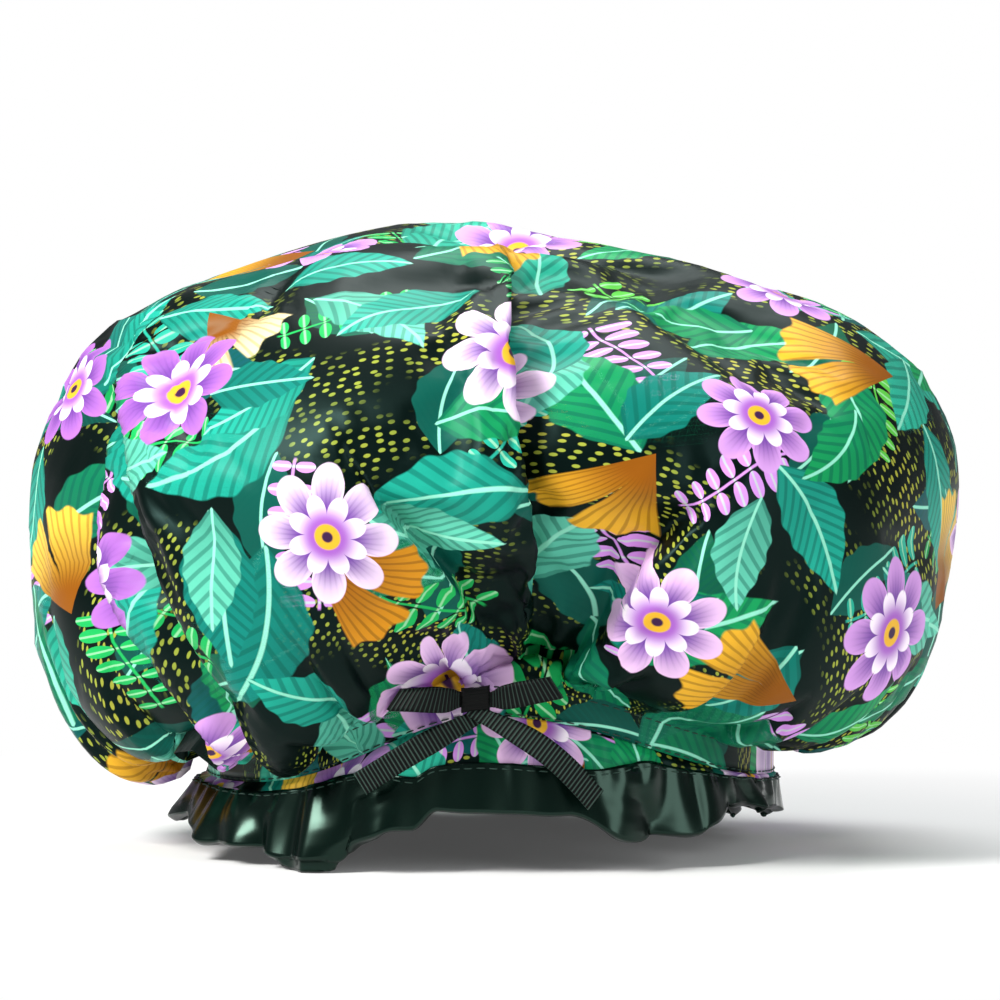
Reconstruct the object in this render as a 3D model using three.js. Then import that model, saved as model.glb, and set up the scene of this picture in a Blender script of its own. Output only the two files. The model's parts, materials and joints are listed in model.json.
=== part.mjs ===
// Shower cap: a puffed crown gathered on an elastic, with a frill, a satin hem band and a ribbon bow.
// Millimetres, +Z up. The bow faces -Y, and the hem stands on z = 0.
// Around the cap, a turn of 0 is the front and a positive turn runs towards +X.
import * as THREE from "three";

// Crown
const CROWN_HALF_WIDTH = 136;
const CROWN_HALF_DEPTH = 125;
const CROWN_TOP_HEIGHT = 181;
const CROWN_WIDEST_HEIGHT = 95;
const TOP_ROUNDNESS = 2.12;
const BOTTOM_ROUNDNESS = 3.3;
const SAG = 9;
const LEFT_SAG = 7;
const BACK_RISE = 3.5;
const RIGHT_SWELL = 3.5;
const SWELL_TURN = THREE.MathUtils.degToRad(65);
const SWELL_SPREAD = THREE.MathUtils.degToRad(35);

// Neck, where the elastic draws the cap in; the front is lifted at the bow
const NECK_HALF_WIDTH = 82;
const NECK_HALF_DEPTH = 79;
const NECK_HEIGHT = 26;
const FRONT_LIFT = 22;
const LIFT_SPREAD_LEFT = THREE.MathUtils.degToRad(30);
const LIFT_SPREAD_RIGHT = THREE.MathUtils.degToRad(42);

// Cloth layers
const CLOTH = 0.6;
const LAYER_GAP = 0.4;
const ELASTIC_WIDTH = 6;
const ELASTIC_THICKNESS = 1;
const CASING_MARGIN = 1.4;
const THREAD_RADIUS = 0.35;

// Frill and hem band
const FRILL_FLARE = 5;
const HEM_LIFT = 19;
const HEM_BAND_WIDTH = 12;
const RUFFLES = 13;
const RUFFLE_DEPTH = 6.5;
const RUFFLE_CALM = THREE.MathUtils.degToRad(30);

// Folds of the crown, and the way that the bow draws its front in
const FOLD_SHEAR = 0.2;
const FRONT_DRAW = 0.8;
const DRAW_SPREAD = THREE.MathUtils.degToRad(28);

// Ribbon bow
const RIBBON_WIDTH = 7;
const RIBBON_THICKNESS = 0.8;
const BOW_OFFSET = -4;
const KNOT_WIDTH = 8.6;
const KNOT_HEIGHT = 8;
const KNOT_DEPTH = 5;
const KNOT_BEVEL = 1.2;
const KNOT_LIFT = 1;
const LEFT_LOOP_LENGTH = 21;
const RIGHT_LOOP_LENGTH = 18;
const LEFT_LOOP_TILT = THREE.MathUtils.degToRad(4);
const RIGHT_LOOP_TILT = THREE.MathUtils.degToRad(10);
const LOOP_FULLNESS = 7;
const LEFT_TAIL_LENGTH = 36;
const RIGHT_TAIL_LENGTH = 38;
const LEFT_TAIL_TURN = THREE.MathUtils.degToRad(59);
const RIGHT_TAIL_TURN = THREE.MathUtils.degToRad(52);
const TAIL_BULGE = 3;
const TAIL_STEP = 1.4;
const TACK_RADIUS = 1.6;
const SEWN_GAP = 0.35;
const BOW_CLEARANCE = 1.5;

// Mesh density
const TURN_STEPS = 80;
const TOP_STEPS = 16;
const COLUMN_STEP = THREE.MathUtils.degToRad(7);
const LEAST_COLUMN = THREE.MathUtils.degToRad(2);
const LEAST_MITRE = 0.4;
const PROFILE_STEPS = 240;
const LOOP_STEPS = 22;
const TAIL_STEPS = 8;

// Where the rings and the forms of the crown lie on the way down it, from 0 at the top to 1 at the casing
const SHARES = {
  topRing: 0.11,
  domeRings: [0.24, 0.37, 0.49, 0.6, 0.7, 0.8, 0.9],
  riseMiddle: 0.3,
  riseSpread: 0.2,
  liftStart: 0.55,
  swellMiddle: 0.7,
  swellSpread: 0.15,
  foldMiddle: 0.75,
  foldGrowth: 0.14,
  foldFade: 0.72,
  foldEnd: 0.97,
  drawStart: 0.6,
  drawFull: 0.9,
  drawEnd: 0.93,
  sagMiddle: 0.91,
  sagSpread: 0.1,
  sagFade: 0.965,
};

// Folds in the front and left of the crown. Each line runs down the crown through points of [turn in
// degrees, share of the way down]. The cloth is deepest on the line, climbs steeply on the side that it is
// tucked under, -1 or 1, to a raised lip, and climbs gently on the other side.
const PLEAT = [[8, 0.16], [5.5, 0.47], [8.5, 0.78], [5, 0.99]];
const LEFT_DIAGONAL = [[-18, 0.54], [-2, 0.76], [1.5, 0.86], [1.5, 0.97]];
const RIGHT_DIAGONAL = [[27, 0.57], [19.5, 0.72], [12, 0.97]];
const LEFT_FOLD = [[-70, 0.4], [-51.5, 0.57], [-39.5, 0.82], [-43, 0.99]];
const OUTER_LEFT_FOLD = [[-74, 0.44], [-63, 0.6], [-54.5, 0.83], [-62, 0.99]];
const FRONT_FOLDS = [
  { line: PLEAT, depth: 13, tuck: -1, steep: 7, gentle: 26, lip: 3 },
  { line: LEFT_DIAGONAL, depth: 8, tuck: -1, steep: 7, gentle: 16, lip: 2 },
  { line: RIGHT_DIAGONAL, depth: 9, tuck: 1, steep: 8, gentle: 18, lip: 2 },
  { line: LEFT_FOLD, depth: 15, tuck: 1, steep: 8, gentle: 26, lip: 3 },
  { line: OUTER_LEFT_FOLD, depth: 13, tuck: 1, steep: 8, gentle: 24, lip: 3 },
];

// Folds in the back: turn and drift in degrees, and the share where each starts
const BACK_FOLD = { depth: 11, steep: 8, gentle: 22, lip: 2 };
const BACK_FOLDS = [
  { turn: 104, drift: 6, top: 0.5, tuck: 1 },
  { turn: 131, drift: -8, top: 0.42, tuck: -1 },
  { turn: 158, drift: 5, top: 0.55, tuck: 1 },
  { turn: -176, drift: -4, top: 0.45, tuck: 1 },
  { turn: -149, drift: 9, top: 0.52, tuck: -1 },
  { turn: -124, drift: -6, top: 0.4, tuck: -1 },
  { turn: -98, drift: 7, top: 0.5, tuck: 1 },
];

// Soft hollows of the slack cloth, each about a turn in degrees and a share of the way down
const HOLLOWS = [
  { turn: 45, share: 0.5, depth: 6, turnSpread: 13, shareSpread: 0.1 },
  { turn: 114, share: 0.42, depth: 7, turnSpread: 12, shareSpread: 0.08 },
  { turn: -128, share: 0.25, depth: 6, turnSpread: 14, shareSpread: 0.08 },
  { turn: 55, share: 0.22, depth: 4, turnSpread: 20, shareSpread: 0.08 },
];

const { smoothstep, lerp, clamp, degToRad } = THREE.MathUtils;
const fullTurn = Math.PI * 2;
const casingHeight = ELASTIC_WIDTH + 2 * CASING_MARGIN;
const liningDepth = CLOTH + LAYER_GAP;
const casingDepth = CLOTH + 2 * LAYER_GAP + ELASTIC_THICKNESS;

// A smooth rise to 1 about a middle
function bump(value, middle, spread) {
  return Math.exp(-(((value - middle) / spread) ** 2));
}

// Shapes of the neck and the hem
function frontLift(turn) {
  const spread = turn < 0 ? LIFT_SPREAD_LEFT : LIFT_SPREAD_RIGHT;
  return bump(turn, 0, spread);
}

function neckHeight(turn) {
  return NECK_HEIGHT + FRONT_LIFT * frontLift(turn);
}

function hemHeight(turn) {
  const lift = frontLift(turn);
  return HEM_LIFT * lift * smoothstep(lift, 0.02, 0.2);
}

// Crown profile, an upper and a lower superellipse sampled at even steps of arc length
function buildProfile() {
  const baseHeight = NECK_HEIGHT + casingHeight / 2;
  const neckShare = NECK_HALF_WIDTH / CROWN_HALF_WIDTH;
  const drop = (1 - neckShare ** BOTTOM_ROUNDNESS) ** (1 / BOTTOM_ROUNDNESS);
  const bottomDepth = (CROWN_WIDEST_HEIGHT - baseHeight) / drop;
  const lastAngle = -Math.acos(neckShare ** (BOTTOM_ROUNDNESS / 2));
  const samples = [];
  let length = 0;
  for (let step = 0; step <= PROFILE_STEPS; step += 1) {
    const angle = lerp(Math.PI / 2, lastAngle, step / PROFILE_STEPS);
    const roundness = angle > 0 ? TOP_ROUNDNESS : BOTTOM_ROUNDNESS;
    const reach = angle > 0 ? CROWN_TOP_HEIGHT - CROWN_WIDEST_HEIGHT : -bottomDepth;
    const radius = CROWN_HALF_WIDTH * Math.abs(Math.cos(angle)) ** (2 / roundness);
    const height = CROWN_WIDEST_HEIGHT + reach * Math.abs(Math.sin(angle)) ** (2 / roundness);
    const last = samples.at(-1);
    length += last ? Math.hypot(radius - last.radius, height - last.height) : 0;
    samples.push({ radius, height, length });
  }
  return samples;
}

const profile = buildProfile();
const profileLength = profile.at(-1).length;

function profileAt(share) {
  const target = clamp(share, 0, 1) * profileLength;
  const next = Math.max(1, profile.findIndex((sample) => sample.length >= target - 1e-9));
  const [a, b] = [profile[next - 1], profile[next]];
  const blend = (target - a.length) / (b.length - a.length);
  const span = b.length - a.length;
  return {
    radius: lerp(a.radius, b.radius, blend),
    height: lerp(a.height, b.height, blend),
    outRadius: (a.height - b.height) / span,
    outHeight: (b.radius - a.radius) / span,
  };
}

// All the folds, in their order round the cap
const backFolds = BACK_FOLDS.map(({ turn, drift, top, tuck }) => ({
  ...BACK_FOLD,
  line: [[turn + drift, top], [turn, SHARES.foldMiddle], [turn - drift / 2, SHARES.foldEnd]],
  tuck,
}));
const middleTurn = (fold) => foldTurn(fold, SHARES.foldMiddle);
const folds = [...FRONT_FOLDS, ...backFolds].sort((first, second) => middleTurn(first) - middleTurn(second));

function foldTurn({ line }, share) {
  const after = line.findIndex(([, at]) => at > share);
  if (after <= 0) {
    return degToRad(after === 0 ? line[0][0] : line.at(-1)[0]);
  }
  const [[turnBefore, before], [turnAfter, next]] = [line[after - 1], line[after]];
  return degToRad(lerp(turnBefore, turnAfter, (share - before) / (next - before)));
}

// How far a fold sinks the cloth, and how far it slides it towards the side that it is tucked under
function foldShift(turn, share, radius, fold) {
  const apart = turn - foldTurn(fold, share);
  const away = Math.atan2(Math.sin(apart), Math.cos(apart)) * radius * fold.tuck;
  const top = fold.line[0][1];
  const grow = smoothstep(share, top, top + SHARES.foldGrowth);
  const fade = grow * (1 - smoothstep(share, SHARES.foldFade, SHARES.foldEnd));
  const steepPart = Math.max(0, 1 - away / fold.steep) ** 1.5;
  const gentlePart = Math.exp(-(Math.max(0, -away / fold.gentle) ** 1.3));
  const sink = fade * fold.depth * (away > 0 ? steepPart : gentlePart);
  const lip = fade * fold.lip * Math.exp(-(((away / fold.steep - 2.2) / 2) ** 2));
  return { sink: sink - lip, slide: sink * FOLD_SHEAR * fold.tuck };
}

function hollowSink(turn, share, hollow) {
  const apart = turn - degToRad(hollow.turn);
  const around = Math.atan2(Math.sin(apart), Math.cos(apart)) / degToRad(hollow.turnSpread);
  const down = (share - hollow.share) / hollow.shareSpread;
  return hollow.depth * Math.exp(-(around ** 2) - down ** 2);
}

// The share of the way in to the neck that the bow draws the front of the crown
function frontDraw(turn, share) {
  const start = smoothstep(share, SHARES.drawStart, SHARES.drawFull);
  const grow = start * (1 - smoothstep(share, SHARES.drawEnd, 1));
  return FRONT_DRAW * grow * bump(turn, 0, DRAW_SPREAD);
}

// How far the crown hangs down past the casing, most of all on the left
function hang(turn, share) {
  const grow = bump(share, SHARES.sagMiddle, SHARES.sagSpread) * (1 - smoothstep(share, SHARES.sagFade, 1));
  return grow * (SAG * (1 - frontLift(turn)) + LEFT_SAG * Math.max(0, -Math.sin(turn)));
}

// The puff stands higher at the back than at the front, and is fuller on the right
function backRise(turn, share) {
  return -BACK_RISE * Math.cos(turn) * bump(share, SHARES.riseMiddle, SHARES.riseSpread);
}

function rightSwell(turn, share) {
  const around = bump(turn, SWELL_TURN, SWELL_SPREAD);
  return RIGHT_SWELL * around * bump(share, SHARES.swellMiddle, SHARES.swellSpread);
}

function crownPoint(turn, share) {
  const { radius, height, outRadius, outHeight } = profileAt(share);
  const shifts = folds.map((fold) => foldShift(turn, share, radius, fold));
  const hollows = HOLLOWS.map((hollow) => hollowSink(turn, share, hollow));
  const sink = [...shifts.map((shift) => shift.sink), ...hollows].reduce((sum, each) => sum + each, 0);
  const slide = shifts.reduce((sum, shift) => sum + shift.slide, 0);
  const lift = FRONT_LIFT * frontLift(turn) * smoothstep(share, SHARES.liftStart, 1);
  const drawn = lerp(radius, NECK_HALF_WIDTH, frontDraw(turn, share));
  const reach = drawn + rightSwell(turn, share) - sink * outRadius;
  const crownRatio = CROWN_HALF_DEPTH / CROWN_HALF_WIDTH;
  const neckRatio = NECK_HALF_DEPTH / NECK_HALF_WIDTH;
  const ratio = lerp(crownRatio, neckRatio, share ** 4);
  const turned = turn + slide / Math.max(radius, NECK_HALF_WIDTH / 2);
  return new THREE.Vector3(
    reach * Math.sin(turned),
    -ratio * reach * Math.cos(turned),
    height - sink * outHeight + lift + backRise(turn, share) - hang(turn, share),
  );
}

// A point of the casing, set out from its outer face, at a height above the middle of the elastic
function casingPoint(turn, out, above) {
  return new THREE.Vector3(
    (NECK_HALF_WIDTH + out) * Math.sin(turn),
    -(NECK_HALF_DEPTH + out) * Math.cos(turn),
    neckHeight(turn) + above,
  );
}

// Plan of the frill, set out along its own normal
function frillPlan(turn, share) {
  const calm = 1 - Math.exp(-((turn / RUFFLE_CALM) ** 2));
  const wave = Math.sin(RUFFLES * (turn + 0.06 * Math.sin(2 * turn)) + 0.6);
  const out = share * (FRILL_FLARE + RUFFLE_DEPTH * calm * wave);
  const across = (NECK_HALF_WIDTH + out) * Math.sin(turn);
  return new THREE.Vector2(across, -(NECK_HALF_DEPTH + out) * Math.cos(turn));
}

function frillTop(turn) {
  return neckHeight(turn) - casingHeight / 2 - LAYER_GAP;
}

function frillBottom(turn) {
  return hemHeight(turn) + CLOTH + LAYER_GAP;
}

function frillPoint(turn, share, out, height) {
  const nudge = 0.003;
  const along = frillPlan(turn + nudge, share).sub(frillPlan(turn - nudge, share)).normalize();
  const plan = frillPlan(turn, share);
  const level = height ?? lerp(frillTop(turn), frillBottom(turn), share);
  return new THREE.Vector3(plan.x + along.y * out, plan.y - along.x * out, level);
}

// Rings of points, each at a turn, joined into one closed surface
function evenTurns(steps) {
  return Array.from({ length: steps }, (_, index) => (index / steps - 0.5) * fullTurn);
}

function ring(turns, pointAt) {
  return { turns, points: turns.map(pointAt) };
}

const hemTurns = evenTurns(TURN_STEPS);

// A ring of the crown has a turn on the line of each fold, one at its lip and even turns between the folds
function foldSpots(fold, share) {
  const line = foldTurn(fold, share);
  const lip = line + (fold.tuck * fold.steep) / Math.max(profileAt(share).radius, NECK_HALF_WIDTH / 2);
  return fold.tuck < 0 ? [lip, line] : [line, lip];
}

function columnTurns(share) {
  const turns = [];
  folds.forEach((fold, index) => {
    const wraps = index === folds.length - 1;
    const next = folds[(index + 1) % folds.length];
    const span = (at) => foldSpots(next, at)[0] + (wraps ? fullTurn : 0) - foldSpots(fold, at)[1];
    const between = Math.max(1, Math.round(span(SHARES.foldMiddle) / COLUMN_STEP));
    const [first, second] = foldSpots(fold, share);
    const step = Math.max(span(share), LEAST_COLUMN * between) / between;
    turns.push(first, second);
    for (let count = 1; count < between; count += 1) {
      turns.push(second + step * count);
    }
  });
  const apart = LEAST_COLUMN / 8;
  return turns.map((turn, index) => Math.max(turn, ...turns.slice(0, index).map((before) => before + apart)));
}

function meanHeight(points) {
  return points.reduce((sum, point) => sum + point.z, 0) / points.length;
}

// The strip between two rings, which keeps to the columns where both have the same number of points; its
// diagonals always fall the same way, so that nested cloths stay parallel
function bridgeRings(a, b, firstA, firstB) {
  if (meanHeight(a.points) < meanHeight(b.points)) {
    return bridgeRings(b, a, firstB, firstA).reverse();
  }
  const triangles = [];
  const [stepsA, stepsB] = [a, b].map(({ turns }) => (turns.length > 1 ? turns.length : 0));
  const turnAt = ({ turns }, step) => turns[step % turns.length] + (step < turns.length ? 0 : fullTurn);
  const order = stepsA === stepsB ? (_, step) => step : turnAt;
  let [atA, atB] = [0, 0];
  while (atA < stepsA || atB < stepsB) {
    const cornerA = firstA + (atA % a.turns.length);
    const cornerB = firstB + (atB % b.turns.length);
    if (atA === stepsA || (atB < stepsB && order(b, atB + 1) <= order(a, atA + 1))) {
      atB += 1;
      triangles.push(cornerA, cornerB, firstB + (atB % b.turns.length));
    } else {
      atA += 1;
      triangles.push(cornerA, cornerB, firstA + (atA % a.turns.length));
    }
  }
  return triangles;
}

function bridgeAll(rings, closesOnItself) {
  const firsts = rings.map((_, index) => rings.slice(0, index).flatMap(({ points }) => points).length);
  const last = closesOnItself ? rings.length : rings.length - 1;
  const triangles = [];
  for (let index = 0; index < last; index += 1) {
    const next = (index + 1) % rings.length;
    triangles.push(...bridgeRings(rings[index], rings[next], firsts[index], firsts[next]));
  }
  return triangles;
}

function solidFromRings(rings, closesOnItself) {
  const points = rings.flatMap((each) => each.points);
  const triangles = bridgeAll(rings, closesOnItself);
  let volume = 0;
  for (let index = 0; index < triangles.length; index += 3) {
    const [p, q, r] = [0, 1, 2].map((corner) => points[triangles[index + corner]]);
    volume += p.clone().cross(q).dot(r);
  }
  const geometry = new THREE.BufferGeometry().setFromPoints(points);
  geometry.setIndex(volume > 0 ? triangles : triangles.reverse());
  geometry.computeVertexNormals();
  return geometry;
}

// The outer face of the crown, from the top to the corner where it turns down into the casing
function crownFace() {
  const dome = SHARES.domeRings.map((share) => ring(columnTurns(share), (turn) => crownPoint(turn, share)));
  const top = ring([0], () => new THREE.Vector3(0, 0, CROWN_TOP_HEIGHT));
  const cap = ring(evenTurns(TOP_STEPS), (turn) => crownPoint(turn, SHARES.topRing));
  const corner = ring(hemTurns, (turn) => casingPoint(turn, 0, casingHeight / 2));
  return [top, cap, ...dome, corner];
}

// The way from each point of a face to its inner side, long enough to keep every facet a unit away
function inwardWays(rings) {
  const points = rings.flatMap((each) => each.points);
  const triangles = bridgeAll(rings, false);
  const facets = points.map(() => []);
  for (let index = 0; index < triangles.length; index += 3) {
    const corners = triangles.slice(index, index + 3);
    const [p, q, r] = corners.map((corner) => points[corner]);
    const normal = q.clone().sub(p).cross(r.clone().sub(p)).normalize();
    corners.forEach((corner, place) => {
      const here = points[corner];
      const before = points[corners[(place + 2) % 3]].clone().sub(here);
      const after = points[corners[(place + 1) % 3]].clone().sub(here);
      facets[corner].push({ normal, angle: before.angleTo(after) });
    });
  }
  const inward = facets[0][0].normal.z > 0 ? -1 : 1;
  return facets.map((around) => {
    const way = new THREE.Vector3();
    around.forEach(({ normal, angle }) => way.addScaledVector(normal, angle));
    way.normalize();
    const least = Math.min(...around.map(({ normal }) => normal.dot(way)));
    return way.multiplyScalar(inward / Math.max(least, LEAST_MITRE));
  });
}

// How steeply the crown's lowest stretch rises to the casing
function skirtSlope(turn) {
  const corner = casingPoint(turn, 0, casingHeight / 2);
  const skirt = crownPoint(turn, SHARES.domeRings.at(-1));
  const across = Math.hypot(skirt.x, skirt.y) - Math.hypot(corner.x, corner.y);
  return clamp((corner.z - skirt.z) / Math.max(1, across), -0.5, 2);
}

const crownRings = crownFace();
const crownInward = inwardWays(crownRings);

// The crown's two cloths run over the dome, turn down at the neck and end at the foot of the casing
function crownCloth(domeDepth, neckDepth) {
  const side = (extra) => {
    let place = 0;
    const dome = crownRings.slice(0, -1).map(({ turns, points }) => ({
      turns,
      points: points.map((point) => {
        place += 1;
        return point.clone().addScaledVector(crownInward[place - 1], domeDepth + extra);
      }),
    }));
    const corner = ring(hemTurns, (turn) => {
      const point = casingPoint(turn, -neckDepth - extra, casingHeight / 2);
      const slope = skirtSlope(turn);
      point.z += (domeDepth + extra) * Math.hypot(1, slope) + (neckDepth + extra) * slope;
      return point;
    });
    const foot = ring(hemTurns, (turn) => casingPoint(turn, -neckDepth - extra, -casingHeight / 2));
    return [...dome, corner, foot];
  };
  return solidFromRings([...side(0), ...side(CLOTH).reverse()], false);
}

// A band of the given section, a list of [out, height above the middle of the elastic], round the casing
function casingRing(section) {
  const rings = section.map(([out, above]) => ring(hemTurns, (turn) => casingPoint(turn, out, above)));
  return solidFromRings(rings, true);
}

function casingThread(above) {
  const middle = LAYER_GAP + THREAD_RADIUS;
  return casingRing([
    [middle + THREAD_RADIUS, above],
    [middle, above - THREAD_RADIUS],
    [middle - THREAD_RADIUS, above],
    [middle, above + THREAD_RADIUS],
  ]);
}

const bandTopShare = (turn) => 1 - HEM_BAND_WIDTH / (frillTop(turn) - frillBottom(turn) + HEM_BAND_WIDTH / 2);

function frillCloth(depth) {
  const side = (inset) => [
    ring(hemTurns, (turn) => frillPoint(turn, 0, -inset)),
    ring(hemTurns, (turn) => frillPoint(turn, bandTopShare(turn), -inset)),
    ring(hemTurns, (turn) => frillPoint(turn, 1, -inset)),
  ];
  return solidFromRings([...side(depth), ...side(depth + CLOTH).reverse()], true);
}

function hemBand() {
  const outside = LAYER_GAP + CLOTH;
  const inside = -(3 * CLOTH + 2 * LAYER_GAP);
  const top = (out) => ring(hemTurns, (turn) => frillPoint(turn, bandTopShare(turn), out));
  const foot = (out, above) => ring(hemTurns, (turn) => frillPoint(turn, 1, out, hemHeight(turn) + above));
  return solidFromRings(
    [
      top(outside),
      foot(outside, 0),
      foot(inside, 0),
      top(inside),
      top(inside + CLOTH),
      foot(inside + CLOTH, CLOTH),
      foot(outside - CLOTH, CLOTH),
      top(outside - CLOTH),
    ],
    true,
  );
}

// The bow is made about its own middle. The knot stands just clear of the crown, and each loop lies forward
// as far as the crown behind it asks.
const bowHeight = neckHeight(0) + KNOT_LIFT;

function crownBehindBow(nearest, furthest, tilt) {
  const points = [];
  for (let turn = -0.5; turn <= 0.5; turn += 0.02) {
    for (let share = 0.7; share <= 1; share += 0.01) {
      const point = crownPoint(turn, share);
      point.x -= BOW_OFFSET;
      const middle = bowHeight + Math.abs(point.x) * Math.tan(tilt);
      if (Math.abs(point.z - middle) < KNOT_HEIGHT / 2 && point.x > nearest && point.x < furthest) {
        points.push(point);
      }
    }
  }
  return points;
}

const behindKnot = crownBehindBow(-KNOT_WIDTH / 2 - BOW_CLEARANCE, KNOT_WIDTH / 2 + BOW_CLEARANCE, 0);
const knotBack = Math.min(-NECK_HALF_DEPTH, ...behindKnot.map((point) => point.y)) - BOW_CLEARANCE;
const bowPlane = knotBack - KNOT_DEPTH / 2;
const loopRoot = KNOT_WIDTH / 2 + SEWN_GAP;
const rootHalf = RIBBON_THICKNESS * 1.5;

function loopTurn(length, tilt, towards) {
  const ends = [towards * (loopRoot + length / 3), towards * (loopRoot + length)];
  const behind = crownBehindBow(Math.min(...ends), Math.max(...ends), tilt);
  const needed = LOOP_FULLNESS / 2 + RIBBON_THICKNESS + BOW_CLEARANCE;
  const turns = behind.map((point) => Math.atan2(bowPlane - point.y + needed, Math.abs(point.x) - loopRoot));
  return Math.max(0, ...turns);
}

function knot() {
  const [halfWidth, halfHeight] = [KNOT_WIDTH / 2 - KNOT_BEVEL, KNOT_HEIGHT / 2 - KNOT_BEVEL];
  const outline = new THREE.Shape();
  const shoulder = halfHeight * 0.95;
  const belly = halfHeight * 1.05;
  outline.moveTo(-halfWidth, -shoulder);
  outline.quadraticCurveTo(0, -belly, halfWidth, -shoulder);
  outline.lineTo(halfWidth, shoulder);
  outline.quadraticCurveTo(0, belly, -halfWidth, shoulder);
  outline.closePath();
  const geometry = new THREE.ExtrudeGeometry(outline, {
    depth: KNOT_DEPTH - 2 * KNOT_BEVEL,
    bevelSize: KNOT_BEVEL,
    bevelThickness: KNOT_BEVEL,
    bevelSegments: 3,
    curveSegments: 6,
  });
  geometry.translate(0, 0, KNOT_BEVEL - KNOT_DEPTH / 2);
  geometry.rotateX(Math.PI / 2);
  geometry.translate(0, bowPlane, bowHeight);
  return geometry;
}

// A strip of ribbon of even thickness, bent along a path in X and Y and as wide as the ribbon along Z
function ribbonStrip(path) {
  const half = RIBBON_THICKNESS / 2;
  const edge = (side) =>
    path.map((point, index) => {
      const before = path[Math.max(0, index - 1)];
      const after = path[Math.min(path.length - 1, index + 1)];
      const along = after.clone().sub(before).normalize();
      return new THREE.Vector2(point.x - side * half * along.y, point.y + side * half * along.x);
    });
  const outline = new THREE.Shape([...edge(1), ...edge(-1).reverse()]);
  const geometry = new THREE.ExtrudeGeometry(outline, { depth: RIBBON_WIDTH, bevelEnabled: false });
  return geometry.translate(0, 0, -RIBBON_WIDTH / 2);
}

function loop(length, tilt, towards) {
  const path = Array.from({ length: LOOP_STEPS + 1 }, (_, step) => {
    const angle = (step / LOOP_STEPS) * fullTurn;
    const along = (1 - Math.cos(angle)) / 2;
    const bulge = (LOOP_FULLNESS / 2) * 1.3 * Math.sin(angle) * Math.sqrt(along);
    const layer = RIBBON_THICKNESS * Math.cos(angle / 2);
    return new THREE.Vector2((length - RIBBON_THICKNESS / 2) * along, bulge + layer);
  });
  const geometry = ribbonStrip(path);
  const forward = loopTurn(length, tilt, towards);
  geometry.translate(0, towards * rootHalf, 0);
  geometry.rotateZ(towards < 0 ? Math.PI + forward : -forward);
  geometry.rotateY(-towards * tilt);
  const root = loopRoot + (RIBBON_WIDTH / 2) * Math.sin(tilt);
  return geometry.translate(towards * root, bowPlane - rootHalf, bowHeight);
}

// A tail leaves the foot of the knot, the right one in front of the left, and lies on the frill
function tailRoot(turnOut, towards) {
  return new THREE.Vector3(
    towards * (KNOT_WIDTH / 2 - SEWN_GAP - (RIBBON_WIDTH / 2) * Math.cos(turnOut)),
    bowPlane - towards * TAIL_STEP / 2,
    bowHeight - KNOT_HEIGHT / 2 - SEWN_GAP - (RIBBON_WIDTH / 2) * Math.sin(turnOut),
  );
}

function tail(length, turnOut, towards) {
  const root = tailRoot(turnOut, towards);
  const tip = root.clone();
  tip.x += towards * length * Math.sin(turnOut);
  tip.z -= length * Math.cos(turnOut);
  const turn = Math.asin((tip.x + BOW_OFFSET) / (NECK_HALF_WIDTH + FRILL_FLARE));
  const share = clamp((frillTop(turn) - tip.z) / (frillTop(turn) - frillBottom(turn)), 0, 1);
  const tipOut = LAYER_GAP + CLOTH + BOW_CLEARANCE + RIBBON_THICKNESS;
  const tipTurn = RIBBON_WIDTH / 2 / NECK_HALF_WIDTH;
  const behindTip = [turn - tipTurn, turn, turn + tipTurn].map((at) => frillPoint(at, share, tipOut).y);
  tip.y = Math.min(...behindTip);
  const along = tip.sub(root).normalize();
  const across = along.clone().cross(new THREE.Vector3(0, -1, 0)).normalize();
  const out = across.clone().cross(along);
  const path = Array.from({ length: TAIL_STEPS + 1 }, (_, step) => {
    const share = step / TAIL_STEPS;
    return new THREE.Vector2(length * share, TAIL_BULGE * Math.sin(Math.PI * share));
  });
  const geometry = ribbonStrip(path);
  geometry.applyMatrix4(new THREE.Matrix4().makeBasis(along, out, across).setPosition(root));
  return geometry;
}

function tack() {
  const front = bowPlane + KNOT_DEPTH / 2 + SEWN_GAP;
  const back = -NECK_HALF_DEPTH - SEWN_GAP;
  const geometry = new THREE.CylinderGeometry(TACK_RADIUS, TACK_RADIUS, back - front, 12);
  return geometry.translate(0, (front + back) / 2, neckHeight(0));
}

// Finishes
const printedSatin = { color: 0x123f33, roughness: 0.42, metalness: 0 };
const darkSatin = { color: 0x06150f, roughness: 0.3, metalness: 0 };
const waterproofLining = { color: 0x0c211b, roughness: 0.35, metalness: 0 };
const grosgrain = { color: 0x0b0d0d, roughness: 0.75, metalness: 0 };
const elasticWebbing = { color: 0x1a1c1b, roughness: 0.85, metalness: 0 };
const sewingThread = { color: 0x10241d, roughness: 0.7, metalness: 0 };

const stitchRow = ELASTIC_WIDTH / 2 + CASING_MARGIN / 2;
const elasticOut = -(CLOTH + LAYER_GAP);
const elasticSection = [
  [elasticOut, ELASTIC_WIDTH / 2],
  [elasticOut, -ELASTIC_WIDTH / 2],
  [elasticOut - ELASTIC_THICKNESS, -ELASTIC_WIDTH / 2],
  [elasticOut - ELASTIC_THICKNESS, ELASTIC_WIDTH / 2],
];

const pieces = [
  ["crown_outer", crownCloth(0, 0), printedSatin],
  ["crown_lining", crownCloth(liningDepth, casingDepth), waterproofLining],
  ["elastic_band", casingRing(elasticSection), elasticWebbing],
  ["upper_casing_thread", casingThread(stitchRow), sewingThread],
  ["lower_casing_thread", casingThread(-stitchRow), sewingThread],
  ["frill_outer", frillCloth(0), printedSatin],
  ["frill_lining", frillCloth(liningDepth), darkSatin],
  ["hem_band", hemBand(), darkSatin],
];

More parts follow.
